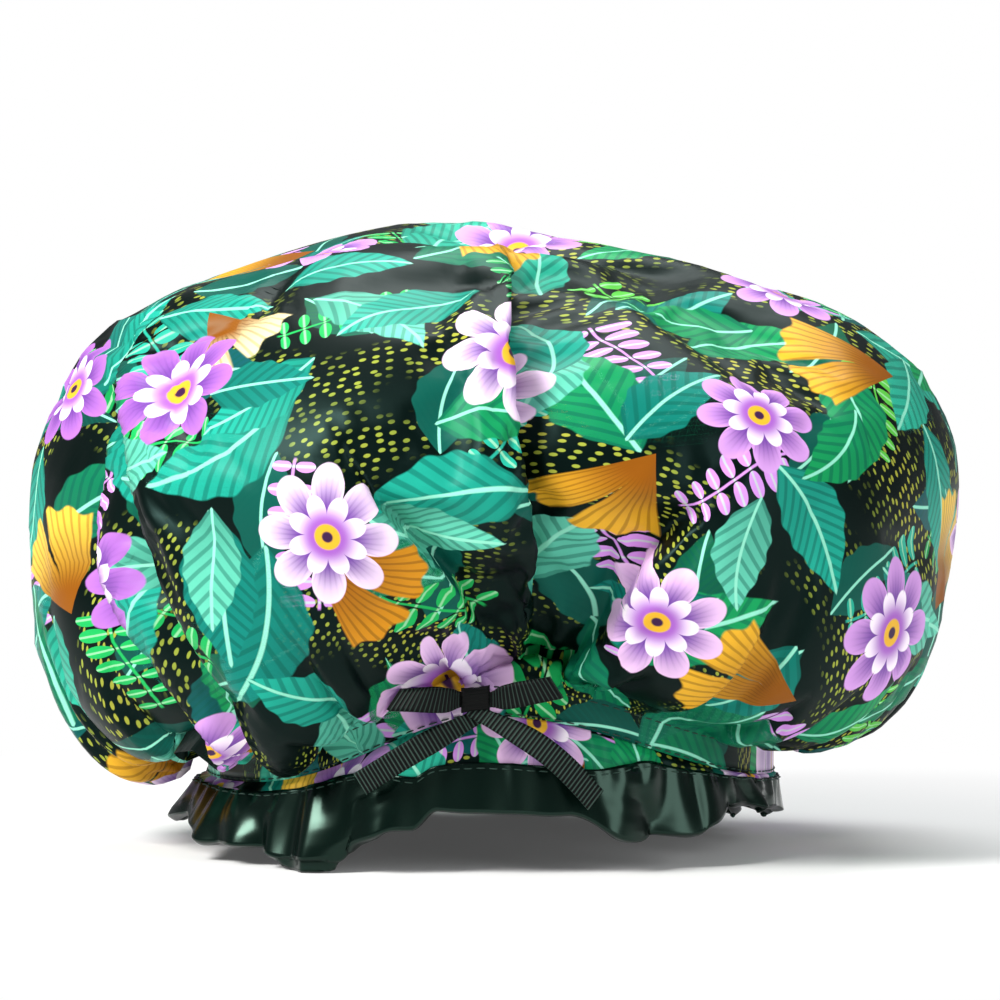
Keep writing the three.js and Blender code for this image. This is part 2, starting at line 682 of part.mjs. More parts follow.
const bowPieces = [
  ["bow_knot", knot(), grosgrain],
  ["bow_loop_left", loop(LEFT_LOOP_LENGTH, LEFT_LOOP_TILT, -1), grosgrain],
  ["bow_loop_right", loop(RIGHT_LOOP_LENGTH, RIGHT_LOOP_TILT, 1), grosgrain],
  ["bow_tail_left", tail(LEFT_TAIL_LENGTH, LEFT_TAIL_TURN, -1), grosgrain],
  ["bow_tail_right", tail(RIGHT_TAIL_LENGTH, RIGHT_TAIL_TURN, 1), grosgrain],
  ["bow_tack", tack(), sewingThread],
];

const showerCap = new THREE.Group();
for (const [, geometry] of bowPieces) {
  geometry.translate(BOW_OFFSET, 0, 0);
}
for (const [name, geometry, finish] of [...pieces, ...bowPieces]) {
  const mesh = new THREE.Mesh(geometry, new THREE.MeshStandardMaterial(finish));
  mesh.name = name;
  showerCap.add(mesh);
}

// The origin is under the middle of the cap, on the surface that it stands on
const box = new THREE.Box3().setFromObject(showerCap);
const middle = box.getCenter(new THREE.Vector3());
showerCap.position.set(-middle.x, -middle.y, -box.min.z);
showerCap.updateMatrixWorld(true);

export default showerCap;
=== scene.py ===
import json
import math

import bpy
import numpy as np
from mathutils.bvhtree import BVHTree
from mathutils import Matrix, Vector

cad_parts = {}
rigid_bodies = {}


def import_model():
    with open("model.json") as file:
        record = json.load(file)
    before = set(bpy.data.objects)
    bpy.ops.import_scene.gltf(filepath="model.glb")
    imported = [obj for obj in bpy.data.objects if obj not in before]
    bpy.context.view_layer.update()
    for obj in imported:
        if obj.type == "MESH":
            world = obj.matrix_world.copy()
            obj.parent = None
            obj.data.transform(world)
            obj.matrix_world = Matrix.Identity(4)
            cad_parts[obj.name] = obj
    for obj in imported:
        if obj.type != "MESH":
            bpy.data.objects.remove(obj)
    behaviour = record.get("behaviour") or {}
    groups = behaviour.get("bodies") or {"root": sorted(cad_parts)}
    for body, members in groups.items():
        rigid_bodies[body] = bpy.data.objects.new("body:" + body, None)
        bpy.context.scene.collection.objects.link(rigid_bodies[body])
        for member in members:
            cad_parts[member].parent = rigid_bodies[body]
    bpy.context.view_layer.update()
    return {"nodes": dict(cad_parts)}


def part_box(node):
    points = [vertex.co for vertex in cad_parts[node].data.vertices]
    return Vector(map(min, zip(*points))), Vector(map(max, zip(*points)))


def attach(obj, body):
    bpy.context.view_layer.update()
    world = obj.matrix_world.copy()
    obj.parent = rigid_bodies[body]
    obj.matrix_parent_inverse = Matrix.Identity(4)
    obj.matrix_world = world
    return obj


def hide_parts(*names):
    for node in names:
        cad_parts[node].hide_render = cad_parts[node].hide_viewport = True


for oldThing in list(bpy.data.objects):
    bpy.data.objects.remove(oldThing)
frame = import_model()
bpy.ops.object.select_all(action="DESELECT")
print("stage: frame loaded")

crownLow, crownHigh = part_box("crown_outer")
elasticLow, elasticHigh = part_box("elastic_band")
knotLow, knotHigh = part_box("bow_knot")
cloth = {"thickness": 0.0005, "casingHeight": 0.0088}
middleX = (elasticLow.x + elasticHigh.x) / 2
middleY = (elasticLow.y + elasticHigh.y) / 2
elasticWidth = 0.006
casingRoom = 0.001
neck = {
    "halfWidth": (elasticHigh.x - elasticLow.x) / 2 + casingRoom,
    "halfDepth": (elasticHigh.y - elasticLow.y) / 2 + casingRoom,
    "height": elasticLow.z + elasticWidth / 2,
    "lift": elasticHigh.z - elasticLow.z - elasticWidth,
    "leftSpread": math.radians(30),
    "rightSpread": math.radians(42),
}


def smoothStep(value, low, high):
    part = np.clip((value - low) / (high - low), 0, 1)
    return part * part * (3 - 2 * part)


def bell(value, middle, width, power=2):
    return np.exp(-(((value - middle) / width) ** power))


def wrap(turn):
    return (turn + np.pi) % (2 * np.pi) - np.pi


def unit(vectors):
    length = np.linalg.norm(vectors, axis=-1, keepdims=True)
    return vectors / np.maximum(length, 1e-12)


def frontLift(turn):
    turn = wrap(turn)
    spread = np.where(turn < 0, neck["leftSpread"], neck["rightSpread"])
    return bell(turn, 0, spread)


def neckHeight(turn):
    return neck["height"] + neck["lift"] * frontLift(turn)


def addObject(name, data):
    thing = bpy.data.objects.new(name, data)
    bpy.context.scene.collection.objects.link(thing)
    return thing


def meshObject(name, points, faces, body, material):
    mesh = bpy.data.meshes.new(name)
    mesh.from_pydata(points.tolist(), [], faces)
    mesh.update()
    mesh.shade_smooth()
    thing = addObject(name, mesh)
    mesh.materials.append(material)
    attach(thing, body)
    return thing


def gridNormals(points, quads):
    first = points[quads[:, 2]] - points[quads[:, 0]]
    second = points[quads[:, 3]] - points[quads[:, 1]]
    faceNormals = np.cross(first, second)
    normals = np.zeros_like(points)
    for corner in range(4):
        np.add.at(normals, quads[:, corner], faceNormals)
    return unit(normals)


def rimOf(quads):
    edges = np.concatenate([quads[:, [k, (k + 1) % 4]] for k in range(4)])
    keys = np.sort(edges, axis=1)
    whole, count = np.unique(keys, axis=0, return_counts=True)
    single = {tuple(edge) for edge in whole[count == 1].tolist()}
    return np.array([edge for edge in edges.tolist() if tuple(sorted(edge)) in single])


def rimFaces(quads, count):
    ahead, back = rimOf(quads).T
    return np.stack([back, ahead, ahead + count, back + count], axis=1)


def shell(name, outer, quads, material):
    count = len(outer)
    inner = outer - gridNormals(outer, quads) * cloth["thickness"]
    faces = np.concatenate([quads, quads[:, ::-1] + count, rimFaces(quads, count)])
    return meshObject(name, np.concatenate([outer, inner]), faces.tolist(), "cap", material)


def lengthAlong(points):
    return np.concatenate([[0], np.cumsum(np.linalg.norm(np.diff(points, axis=0), axis=1))])


def sample(at, length, rows):
    return np.stack([np.interp(at, length, column) for column in rows.T], axis=1)


def turnsAround(count):
    return np.linspace(-np.pi, np.pi, count, endpoint=False)


def ringGrid(around, down):
    first = np.arange(around)
    after = (first + 1) % around
    rows = []
    for row in range(down - 1):
        top = row * around
        low = top + around
        rows.append(np.stack([top + first, low + first, low + after, top + after], axis=1))
    return np.concatenate(rows)


def tubeFaces(around, rows):
    last = (rows - 1) * around
    ends = [list(range(around))[::-1], list(range(last, last + around))]
    return ringGrid(around, rows).tolist() + ends


def discGrid(rings):
    span = np.arange(-rings, rings + 1)
    across, along = np.meshgrid(span, span, indexing="ij")
    ring = np.maximum(np.abs(across), np.abs(along)).ravel()
    across, along = across.ravel(), along.ravel()
    safe = np.maximum(ring, 1)
    onSide = np.abs(across) >= np.abs(along)
    sideAngle = np.where(across > 0, along / safe, 4 - along / safe)
    topAngle = np.where(along > 0, 2 - across / safe, 6 + across / safe)
    angle = np.where(onSide, sideAngle, topAngle) * np.pi / 4
    width = 2 * rings + 1
    cell = np.arange(2 * rings)
    corner = (cell[:, None] * width + cell[None, :]).ravel()
    quads = np.stack([corner, corner + width, corner + width + 1, corner + 1], axis=1)
    return ring / rings, angle, quads


pinSteps = 20


def settle(points, quads, pins, settings):
    mesh = bpy.data.meshes.new("settling")
    mesh.from_pydata(points.tolist(), [], quads.tolist())
    thing = addObject("settling", mesh)
    group = thing.vertex_groups.new(name="pins")
    levels = np.round(pins * pinSteps) / pinSteps
    for level in np.unique(levels[levels > 0]):
        group.add(np.nonzero(levels == level)[0].tolist(), float(level), "REPLACE")
    modifier = thing.modifiers.new("cloth", "CLOTH")
    values = modifier.settings
    values.vertex_group_mass = "pins"
    values.quality = settings["quality"]
    values.mass = settings["mass"]
    values.tension_stiffness = values.compression_stiffness = settings["stretch"]
    values.shear_stiffness = settings["shear"]
    values.bending_stiffness = settings["bending"]
    values.tension_damping = values.compression_damping = values.shear_damping = settings["damping"]
    values.use_pressure = settings["pressure"] > 0
    values.uniform_pressure_force = settings["pressure"]
    values.shrink_min = -settings["growth"]
    values.effector_weights.gravity = settings["gravity"]
    modifier.point_cache.frame_end = settings["frames"]
    for step in range(1, settings["frames"] + 1):
        bpy.context.scene.frame_set(step)
    seen = thing.evaluated_get(bpy.context.evaluated_depsgraph_get())
    spots = np.zeros(len(points) * 3)
    seen.data.vertices.foreach_get("co", spots)
    bpy.data.objects.remove(thing)
    bpy.context.scene.frame_set(1)
    return spots.reshape(-1, 3)


def finer(values, spots, axis):
    count = values.shape[axis]
    base = np.floor(spots).astype(int)
    part = spots - base
    weights = [
        -0.5 * part + part**2 - 0.5 * part**3,
        1 - 2.5 * part**2 + 1.5 * part**3,
        0.5 * part + 2 * part**2 - 1.5 * part**3,
        -0.5 * part**2 + 0.5 * part**3,
    ]
    total = 0
    for step, weight in enumerate(weights):
        index = np.clip(base + step - 1, 0, count - 1)
        shape = [1] * values.ndim
        shape[axis] = len(spots)
        total = total + np.take(values, index, axis=axis) * weight.reshape(shape)
    return total


# node helpers: formulas are written on wires
class Wire:
    def __init__(self, tree, socket):
        self.tree = tree
        self.socket = socket

    def run(self, kind, *others):
        node = addNode(self.tree, "Math")
        node.operation = kind
        for place, value in enumerate((self, *others)):
            put(self.tree, node.inputs[place], value)
        return Wire(self.tree, node.outputs[0])

    __add__ = __radd__ = lambda self, other: self.run("ADD", other)
    __sub__ = lambda self, other: self.run("SUBTRACT", other)
    __mul__ = __rmul__ = lambda self, other: self.run("MULTIPLY", other)
    __truediv__ = lambda self, other: self.run("DIVIDE", other)
    __pow__ = lambda self, other: self.run("POWER", other)
    __neg__ = lambda self: self.run("MULTIPLY", -1.0)
    __abs__ = lambda self: self.run("ABSOLUTE")
    __rsub__ = lambda self, other: -self + other


def put(tree, socket, value):
    if isinstance(value, Wire):
        tree.links.new(value.socket, socket)
    else:
        socket.default_value = colour(value) if isinstance(value, str) else value


def fill(tree, node, inputs):
    for name, value in inputs.items():
        put(tree, node.inputs[name.replace("_", " ")], value)
    return node


def addNode(tree, kind, **inputs):
    return fill(tree, tree.nodes.new("ShaderNode" + kind), inputs)


def ease(value, low, high):
    node = addNode(value.tree, "MapRange")
    node.interpolation_type = "SMOOTHSTEP"
    for place, part in enumerate((value, low, high)):
        put(value.tree, node.inputs[place], part)
    return Wire(value.tree, node.outputs[0])


def mixColour(share, first, second):
    node = addNode(share.tree, "Mix")
    node.data_type = "RGBA"
    for place, part in ((0, share), (6, first), (7, second)):  # 6 and 7 are its colour sockets
        put(share.tree, node.inputs[place], part)
    return Wire(share.tree, node.outputs[2])


def colour(text):
    parts = [int(text[k : k + 2], 16) / 255 for k in (1, 3, 5)]
    return tuple(p / 12.92 if p < 0.04045 else ((p + 0.055) / 1.055) ** 2.4 for p in parts) + (1.0,)


def pick(value, colours):
    node = addNode(value.tree, "ValToRGB")
    node.color_ramp.interpolation = "CONSTANT"
    steps = node.color_ramp.elements
    while len(steps) < len(colours):
        steps.new(0.5)
    for place, text in enumerate(colours):
        steps[place].position = place / len(colours)
        steps[place].color = colour(text)
    put(value.tree, node.inputs[0], value)
    return Wire(value.tree, node.outputs[0])


def chance(value, seed):
    node = addNode(value.tree, "TexWhiteNoise")
    node.noise_dimensions = "1D"
    put(value.tree, node.inputs["W"], value + seed)
    return Wire(value.tree, node.outputs["Value"])


def attributeWire(tree, name, output):
    node = addNode(tree, "Attribute")
    node.attribute_name = name
    return Wire(tree, node.outputs[output])


def stampOf(tree, name):
    split = addNode(tree, "SeparateXYZ", Vector=attributeWire(tree, name, "Vector"))
    return [Wire(tree, split.outputs[k]) for k in range(3)]


def newMaterial(name, base, roughness, **extra):
    material = bpy.data.materials.new(name)
    material.use_nodes = True
    shader = material.node_tree.nodes["Principled BSDF"]
    return material, fill(material.node_tree, shader, {"Base Color": base, "Roughness": roughness, **extra})


# printed satin: leaves, blossoms, fans and sprigs over a seeded dark ground
printLayers = {
    "shade": (0.036, 0.0185, 2),  # spacing, size and seed
    "sprig": (0.040, 0.0205, 3),
    "leafBig": (0.048, 0.0245, 5),
    "leafMid": (0.042, 0.0215, 15),
    "leafSmall": (0.038, 0.0185, 8),
    "fan": (0.062, 0.020, 16),
    "bloom": (0.060, 0.0215, 21),
}
ground = {
    "tone": "#010907", "dark": "#2f8a36", "light": "#b9ad3c",
    "across": 230, "along": 420, "jitter": 0.55, "patch": 0.07, "seedSize": 0.27, "seedSoft": 0.08,
}
leaf = {
    "tones": ["#22b39b", "#11877a", "#6fdcbd", "#17a257", "#34c4a4", "#0f7f4f"],
    "shadeTones": ["#0a4a40", "#0b5a36", "#0d4f5a", "#093a33"],
    "dark": "#0a5a4c", "ribTone": "#075045", "veinTone": "#8fe0c4",
    "bend": 0.5, "waves": 17, "waveDepth": 0.05, "base": 1.15, "taper": 0.35, "width": 0.42,
    "ribSlant": 1.1, "vein": 0.035,
}
sprig = {
    "tones": ["#1cad55", "#5cc247", "#cf8fe0", "#25a98f", "#12924a"],
    "veinTone": "#b9ecc0", "sway": 0.14, "swayTurns": 2.2, "pairs": 3.6, "base": 1.12, "taper": 0.28,
    "bladeWidth": 0.42, "bladeOut": 0.27, "bladeLength": 0.23, "stem": 0.03, "vein": 0.09,
}
fan = {
    "tones": ["#eab02c", "#f3c846", "#d99018", "#f1e3ac"],
    "dark": "#8a4e0a", "rayTone": "#5c3304", "root": 0.92, "reach": 1.72, "halfAngle": 0.66,
    "scallops": 23, "scallopDepth": 0.05, "droop": 0.25, "slitFrom": 0.85, "slit": 0.07, "rays": 70,
}
bloom = {
    "tones": ["#d39be0", "#f1d8f2", "#b06fc6", "#ecc3ec"],
    "dark": "#6f3d9b", "streakTone": "#54307e", "innerDark": "#a35fbf", "innerPale": "#fbeefa",
    "ringTone": "#e8b12e", "eyeTone": "#3d1a44", "halfPetals": 4, "streaks": 56,
    "petal": 0.45, "heart": 0.50, "innerPetal": 0.26, "innerHeart": 0.30, "ring": 0.19, "eye": 0.09,
}


def edge(value, soft=0.03):
    return ease(value, 0.0, soft)


def leafPart(tree, name, ribs, seed, tones="tones"):
    x, y, number = stampOf(tree, name)
    bow = y - (1 - x * x) * (chance(number, seed + 0.5) - 0.5) * leaf["bend"]
    wave = (x * leaf["waves"]).run("SINE") * leaf["waveDepth"] + 1
    half = (1 - x * x) * (leaf["base"] - x * leaf["taper"]) * wave * leaf["width"]
    inside = edge(half - abs(bow))
    rib = ease(((x - abs(bow) * leaf["ribSlant"]) * ribs).run("SINE"), 0.1, 0.7)
    tone = pick(chance(number, seed), leaf[tones])
    dark = mixColour(x * 0.25 + 0.62, leaf["dark"], tone)
    shade = mixColour(rib * 0.5, dark, leaf["ribTone"])
    middle = edge(leaf["vein"] - abs(bow), 0.02)
    return inside, mixColour(middle, shade, leaf["veinTone"])


def sprigPart(tree, name, seed):
    x, y, number = stampOf(tree, name)
    sway = y - (x * sprig["swayTurns"]).run("SINE") * sprig["sway"]
    cell = (x * sprig["pairs"] + 0.5).run("FRACT") - 0.5
    taper = sprig["base"] - (x + 1) * sprig["taper"]
    wide = cell / (taper * sprig["bladeWidth"])
    high = (abs(sway) - taper * sprig["bladeOut"]) / (taper * sprig["bladeLength"])
    blade = edge(1 - (wide * wide + high * high), 0.12) * edge(0.9 - abs(x), 0.02)
    stem = edge(sprig["stem"] - abs(sway), 0.02) * edge(0.95 - abs(x), 0.05)
    tone = pick(chance(number, seed), sprig["tones"])
    vein = edge(sprig["vein"] - abs(cell), 0.06)
    shade = mixColour(vein * 0.55, tone, sprig["veinTone"])
    return blade.run("MAXIMUM", stem), shade


def fanPart(tree, name, seed):
    x, y, number = stampOf(tree, name)
    along = x + fan["root"]
    reach = (along * along + y * y).run("SQRT")
    angle = y.run("ARCTAN2", along)
    scallop = (angle * fan["scallops"]).run("COSINE") * fan["scallopDepth"]
    rim = fan["reach"] - scallop - abs(angle) * fan["droop"]
    slit = edge(abs(angle) - (reach - fan["slitFrom"]) * fan["slit"])
    side = edge(fan["halfAngle"] - abs(angle))
    inside = edge(rim - reach, 0.05) * side * slit
    ray = ease((angle * fan["rays"]).run("SINE"), 0.2, 0.9) * ease(reach, 0.3, 0.7)
    tone = pick(chance(number, seed), fan["tones"])
    shade = mixColour(ease(reach, 0.35, 1.7), fan["dark"], tone)
    return inside, mixColour(ray * 0.45, shade, fan["rayTone"])


def bloomPart(tree, name, seed):
    x, y, number = stampOf(tree, name)
    reach = (x * x + y * y).run("SQRT")
    angle = y.run("ARCTAN2", x)
    petal = abs((angle * bloom["halfPetals"]).run("COSINE"))
    inner = abs((angle * bloom["halfPetals"]).run("SINE"))
    rim = petal ** 0.55 * bloom["petal"] + bloom["heart"]
    tone = pick(chance(number, seed), bloom["tones"])
    streak = ease((angle * bloom["streaks"]).run("SINE"), 0.0, 0.9) * ease(reach, 0.9, 0.3)
    shade = mixColour(ease(reach / rim, 0.35, 1.0), bloom["dark"], tone)
    shade = mixColour(streak * 0.35, shade, bloom["streakTone"])
    over = edge(inner ** 0.6 * bloom["innerPetal"] + bloom["innerHeart"] - reach)
    paler = mixColour(ease(reach, 0.2, 0.52), bloom["innerDark"], bloom["innerPale"])
    shade = mixColour(over, shade, paler)
    for part in ("ring", "eye"):
        shade = mixColour(edge(bloom[part] - reach), shade, bloom[part + "Tone"])
    return edge(rim - reach), shade


def groundLook(tree):
    flatX, flatY, _ = stampOf(tree, "flat")
    place = addNode(tree, "CombineXYZ", X=flatX * ground["across"], Y=flatY * ground["along"])
    spread = Wire(tree, place.outputs[0])
    seeds = addNode(tree, "TexVoronoi", Vector=spread, Scale=1.0, Randomness=ground["jitter"])
    seeds.voronoi_dimensions = "2D"
    patch = Wire(tree, addNode(tree, "TexNoise", Vector=spread, Scale=ground["patch"]).outputs["Fac"])
    spot = edge(ground["seedSize"] - Wire(tree, seeds.outputs["Distance"]), ground["seedSoft"])
    spot = spot * ease(patch, 0.46, 0.56)
    seedTone = mixColour(patch * 1.6 - 0.3, ground["dark"], ground["light"])
    return mixColour(spot, ground["tone"], seedTone)


def printMaterial():
    material, shader = newMaterial(
        "printedSatin", "#103a30", 0.40, Specular_IOR_Level=0.16, Specular_Tint="#a9e6dc"
    )
    tree = material.node_tree
    look = groundLook(tree)
    parts = [
        leafPart(tree, "shade", 40, 71.0, "shadeTones"),
        sprigPart(tree, "sprig", 31.0),
        leafPart(tree, "leafBig", 30, 7.0),
        leafPart(tree, "leafMid", 36, 27.0),
        leafPart(tree, "leafSmall", 24, 17.0),
        fanPart(tree, "fan", 43.0),
        bloomPart(tree, "bloom", 59.0),
    ]
    for inside, shade in parts:
        look = mixColour(inside, look, shade)
    put(tree, shader.inputs["Base Color"], look)
    return material


scatterSet = {"tries": 9000, "batch": 20000, "smallest": 0.82}


def scatter(points, spacing, seed):
    source = np.random.default_rng(seed)
    order = source.permutation(len(points))[: scatterSet["tries"]]
    kept = [order[0]]
    for place in order[1:]:
        if np.min(np.linalg.norm(points[kept] - points[place], axis=1)) >= spacing:
            kept.append(place)
    return np.array(kept), source


def stampPrint(thing, points, normals, quads, flat, extraFaces):
    cornerBase = np.concatenate([quads, quads[:, ::-1], extraFaces % len(points)])
    faceCentres = points[cornerBase].mean(axis=1)
    for name, (spacing, size, seed) in printLayers.items():
        kept, source = scatter(points, spacing, seed)
        centres = points[kept]
        nearest = np.zeros(len(faceCentres), int)
        for start in range(0, len(faceCentres), scatterSet["batch"]):
            some = faceCentres[start : start + scatterSet["batch"]]
            gap = np.linalg.norm(some[:, None, :] - centres[None, :, :], axis=2)
            nearest[start : start + len(some)] = gap.argmin(axis=1)
        across = np.cross([0.0, 0.0, 1.0], normals[kept])
        across[np.linalg.norm(across, axis=1) < 0.05] = (1.0, 0.0, 0.0)
        across = unit(across)
        upward = np.cross(normals[kept], across)
        spin = source.uniform(0, 2 * np.pi, len(kept))[:, None]
        first = across * np.cos(spin) + upward * np.sin(spin)
        second = upward * np.cos(spin) - across * np.sin(spin)
        sizes = size * source.uniform(scatterSet["smallest"], 1.0, len(kept))
        offset = points[cornerBase] - centres[nearest][:, None, :]
        local = np.stack([np.einsum("fcx,fx->fc", offset, way[nearest]) for way in (first, second)], axis=2)
        span = np.linalg.norm(local, axis=2, keepdims=True)
        local = local * np.linalg.norm(offset, axis=2, keepdims=True) / np.maximum(span, 1e-9)
        local = local / sizes[nearest][:, None, None]
        number = np.broadcast_to(nearest[:, None, None], local.shape[:2] + (1,))
        values = np.concatenate([local, number], axis=2).astype(np.float32)
        attribute = thing.data.attributes.new(name, "FLOAT_VECTOR", "CORNER")
        attribute.data.foreach_set("vector", values.ravel())
    attribute = thing.data.attributes.new("flat", "FLOAT_VECTOR", "CORNER")
    attribute.data.foreach_set("vector", flat[cornerBase].astype(np.float32).ravel())


def bakeMap(thing, place, quads, extraFaces, innerPlace):
    layer = thing.data.uv_layers.new(name="OFBake")
    corners = [place[quads], innerPlace[quads[:, ::-1]], innerPlace[extraFaces % len(place)]]
    spots = np.concatenate(corners).astype(np.float32)
    layer.data.foreach_set("uv", spots.reshape(-1))


satin = printMaterial()
darkSatin, _ = newMaterial("darkSatin", "#010a07", 0.22, Specular_IOR_Level=0.36, Specular_Tint="#bff2dc")
liningSatin, _ = newMaterial("liningSatin", "#0d2b26", 0.32)
ribbonCloth, ribbonShader = newMaterial("ribbonCloth", "#0d0f10", 0.55, Specular_IOR_Level=0.12)
# painted highlight: the ribbon's rib tops are coloured lighter grey-green, standing in for light caught on
# the ribs
paintedHighlightShare = ease(attributeWire(ribbonCloth.node_tree, "paintedRibHighlight", "Fac"), 0.72, 1.0)
paintedHighlightColour = mixColour(paintedHighlightShare, "#010202", "#33473f")
put(ribbonCloth.node_tree, ribbonShader.inputs["Base Color"], paintedHighlightColour)
threadCloth, _ = newMaterial("threadCloth", "#16362c", 0.6)
webbing, _ = newMaterial("webbing", "#1b1d1d", 0.7)
print("stage: materials")

# crown: one puffed disc on the casing; a share runs from the middle of the top, 0, to the casing, 1
crown = {
    "rings": 100,
    "halfWidth": crownHigh.x * 0.9480,
    "halfDepth": (crownHigh.y - crownLow.y) / 2 * 0.9468,
    "top": crownHigh.z - 0.0060,
    "widest": 0.095, "topRound": 2.2, "lowRound": 3.3,
    "sag": 0.009, "leftSag": 0.007, "rightSag": -0.0008, "sagAt": (0.91, 0.1), "sagEnd": (0.965, 1),
    "leftSwell": 0.0052, "swellTurn": (-1.6, 0.5), "swellAt": (0.46, 0.12),
    "leftSlope": 0.0036, "leftSlopeAt": (0.25, 0.13),
    "rightSlope": 0.0068, "rightSlopeAt": (0.21, 0.14), "slopeFrom": (0.01, 0.12),
    "frontDraw": 0.8, "drawSpread": math.radians(28), "drawIn": (0.60, 0.90), "drawOut": (0.93, 1),
    "liftFrom": (0.55, 1), "puff": 0.0022, "leastReach": 0.004, "roundFrom": (0.975, 0.99),
}
foldSet = {
    "shear": 0.9, "fadeIn": 0.14, "fadeOut": (0.95, 1.0), "flatten": 0.98,
    "bowCalm": 0.6, "calmFrom": (0.66, 0.88), "calmTurn": 0.6,
}
foldKeys = ("depth", "over", "steep", "gentle", "lip", "path")  # a path has turns in degrees and shares
foldRows = [
    (0.013, -1, 0.005, 0.026, 0.003,
     [(8, 0.16), (7, 0.3), (5.5, 0.43), (5.5, 0.52), (6.5, 0.6), (8, 0.69), (8.5, 0.8), (7.5, 0.9),
      (5, 0.99)]),
    (0.008, -1, 0.006, 0.016, 0.002,
     [(-18, 0.54), (-9.5, 0.65), (-5.5, 0.708), (-2, 0.758), (1.5, 0.86), (1.5, 0.97)]),
    (0.009, 1, 0.006, 0.018, 0.002,
     [(27, 0.57), (24, 0.642), (19.5, 0.72), (15.5, 0.85), (12, 0.97)]),
    (0.016, 1, 0.006, 0.026, 0.004,
     [(-70, 0.4), (-62, 0.48), (-51.5, 0.573), (-49, 0.62), (-46, 0.68), (-39.5, 0.818), (-41, 0.9),
      (-43, 0.99)]),
    (0.014, 1, 0.006, 0.024, 0.004,
     [(-74, 0.44), (-66, 0.54), (-63, 0.6), (-62.5, 0.7), (-59, 0.75), (-54.5, 0.83), (-58, 0.92),
      (-62, 0.99)]),
]
# at the back: turn, the way a fold leans, where it starts and how far it drifts
for turn, way, start, drift in (
    (104, 1, 0.5, 6), (131, -1, 0.42, -8), (158, 1, 0.55, 5), (184, 1, 0.45, -4),
    (211, -1, 0.52, 9), (236, -1, 0.4, -6), (262, 1, 0.5, 7),
):
    backPath = [(turn + drift, start), (turn, 0.75), (turn - drift * 0.5, 0.99)]
    foldRows.append((0.011, way, 0.006, 0.022, 0.002, backPath))
foldLines = [dict(zip(foldKeys, row)) for row in foldRows]
gatherSet = {
    "count": 56, "seed": 4, "depth": (0.0018, 0.0052), "width": (0.0024, 0.0050), "start": (0.62, 0.87),
    "spread": (0.1, 0.9), "drift": 0.06, "gentle": 1.8, "lip": 0.0004, "shear": 0.5,
    "fadeIn": 0.12, "fadeOut": (0.96, 1.0), "flatten": 0.92,
    "pull": 0.3, "pullFrom": (0.72, 1), "pullTurn": 0.7,
}


def profileTable():
    neckRatio = neck["halfWidth"] / crown["halfWidth"]
    foot = neck["height"] + cloth["casingHeight"] / 2
    step = np.linspace(0, np.pi / 2, 500)
    topPower, lowPower = 2 / crown["topRound"], 2 / crown["lowRound"]
    topReach = crown["halfWidth"] * np.sin(step) ** topPower
    topHeight = crown["widest"] + (crown["top"] - crown["widest"]) * np.cos(step) ** topPower
    lowDepth = (crown["widest"] - foot) / (1 - neckRatio ** crown["lowRound"]) ** (1 / crown["lowRound"])
    lowReach = crown["halfWidth"] * np.cos(step) ** lowPower
    lowHeight = crown["widest"] - lowDepth * np.sin(step) ** lowPower
    keep = lowHeight > foot
    reach = np.concatenate([topReach, lowReach[keep][1:], [neck["halfWidth"]]])
    height = np.concatenate([topHeight, lowHeight[keep][1:], [foot]])
    length = np.concatenate([[0], np.cumsum(np.hypot(np.diff(reach), np.diff(height)))])
    return length / length[-1], reach, height, length[-1]


profileShare, profileReach, profileHeight, meridian = profileTable()
casingShare = cloth["casingHeight"] / meridian


def crownBase(turn, share):
    reach = np.interp(share, profileShare, profileReach)
    height = np.interp(share, profileShare, profileHeight)
    draw = crown["frontDraw"] * smoothStep(share, *crown["drawIn"])
    draw = draw * (1 - smoothStep(share, *crown["drawOut"])) * bell(turn, 0, crown["drawSpread"])
    reach = reach + (neck["halfWidth"] - reach) * draw
    shoulder = bell(wrap(turn), *crown["swellTurn"]) * bell(share, *crown["swellAt"])
    reach = reach + crown["leftSwell"] * shoulder
    height = height + neck["lift"] * frontLift(turn) * smoothStep(share, *crown["liftFrom"])
    toLeft, toRight = np.maximum(0, -np.sin(turn)), np.maximum(0, np.sin(turn))
    rightSlope = crown["rightSlope"] * toRight * bell(share, *crown["rightSlopeAt"])
    leftSlope = crown["leftSlope"] * toLeft * bell(share, *crown["leftSlopeAt"])
    height = height - (rightSlope + leftSlope) * smoothStep(share, *crown["slopeFrom"])
    sag = bell(share, *crown["sagAt"]) * (1 - smoothStep(share, *crown["sagEnd"]))
    hang = crown["sag"] * (1 - frontLift(turn)) + crown["leftSag"] * toLeft + crown["rightSag"] * toRight
    height = height - hang * sag
    height = height - np.maximum(0, share - 1) * meridian
    wide = crown["halfDepth"] / crown["halfWidth"]
    ratio = wide + (neck["halfDepth"] / neck["halfWidth"] - wide) * np.minimum(share, 1) ** 4
    return np.stack([middleX + reach * np.sin(turn), middleY - ratio * reach * np.cos(turn), height], axis=-1)


def surfaceFrame(surface, turn, share, small):
    sideways = surface(turn + small, share) - surface(turn - small, share)
    downward = surface(turn, share + small) - surface(turn, np.maximum(share - small, 0))
    normal = np.cross(downward, sideways)
    normal[np.linalg.norm(normal, axis=-1) < 1e-12] = (0, 0, 1)
    return unit(normal), unit(sideways)


def foldSink(offset, fold):
    side = offset * fold["over"]
    steepPart = np.clip(1 - side / fold["steep"], 0, 1) ** 1.5
    gentlePart = bell(np.maximum(-side, 0), 0, fold["gentle"], 1.3)
    lip = bell(side, 2.2 * fold["steep"], 2 * fold["steep"])
    return fold["depth"] * np.where(side > 0, steepPart, gentlePart), fold["lip"] * lip


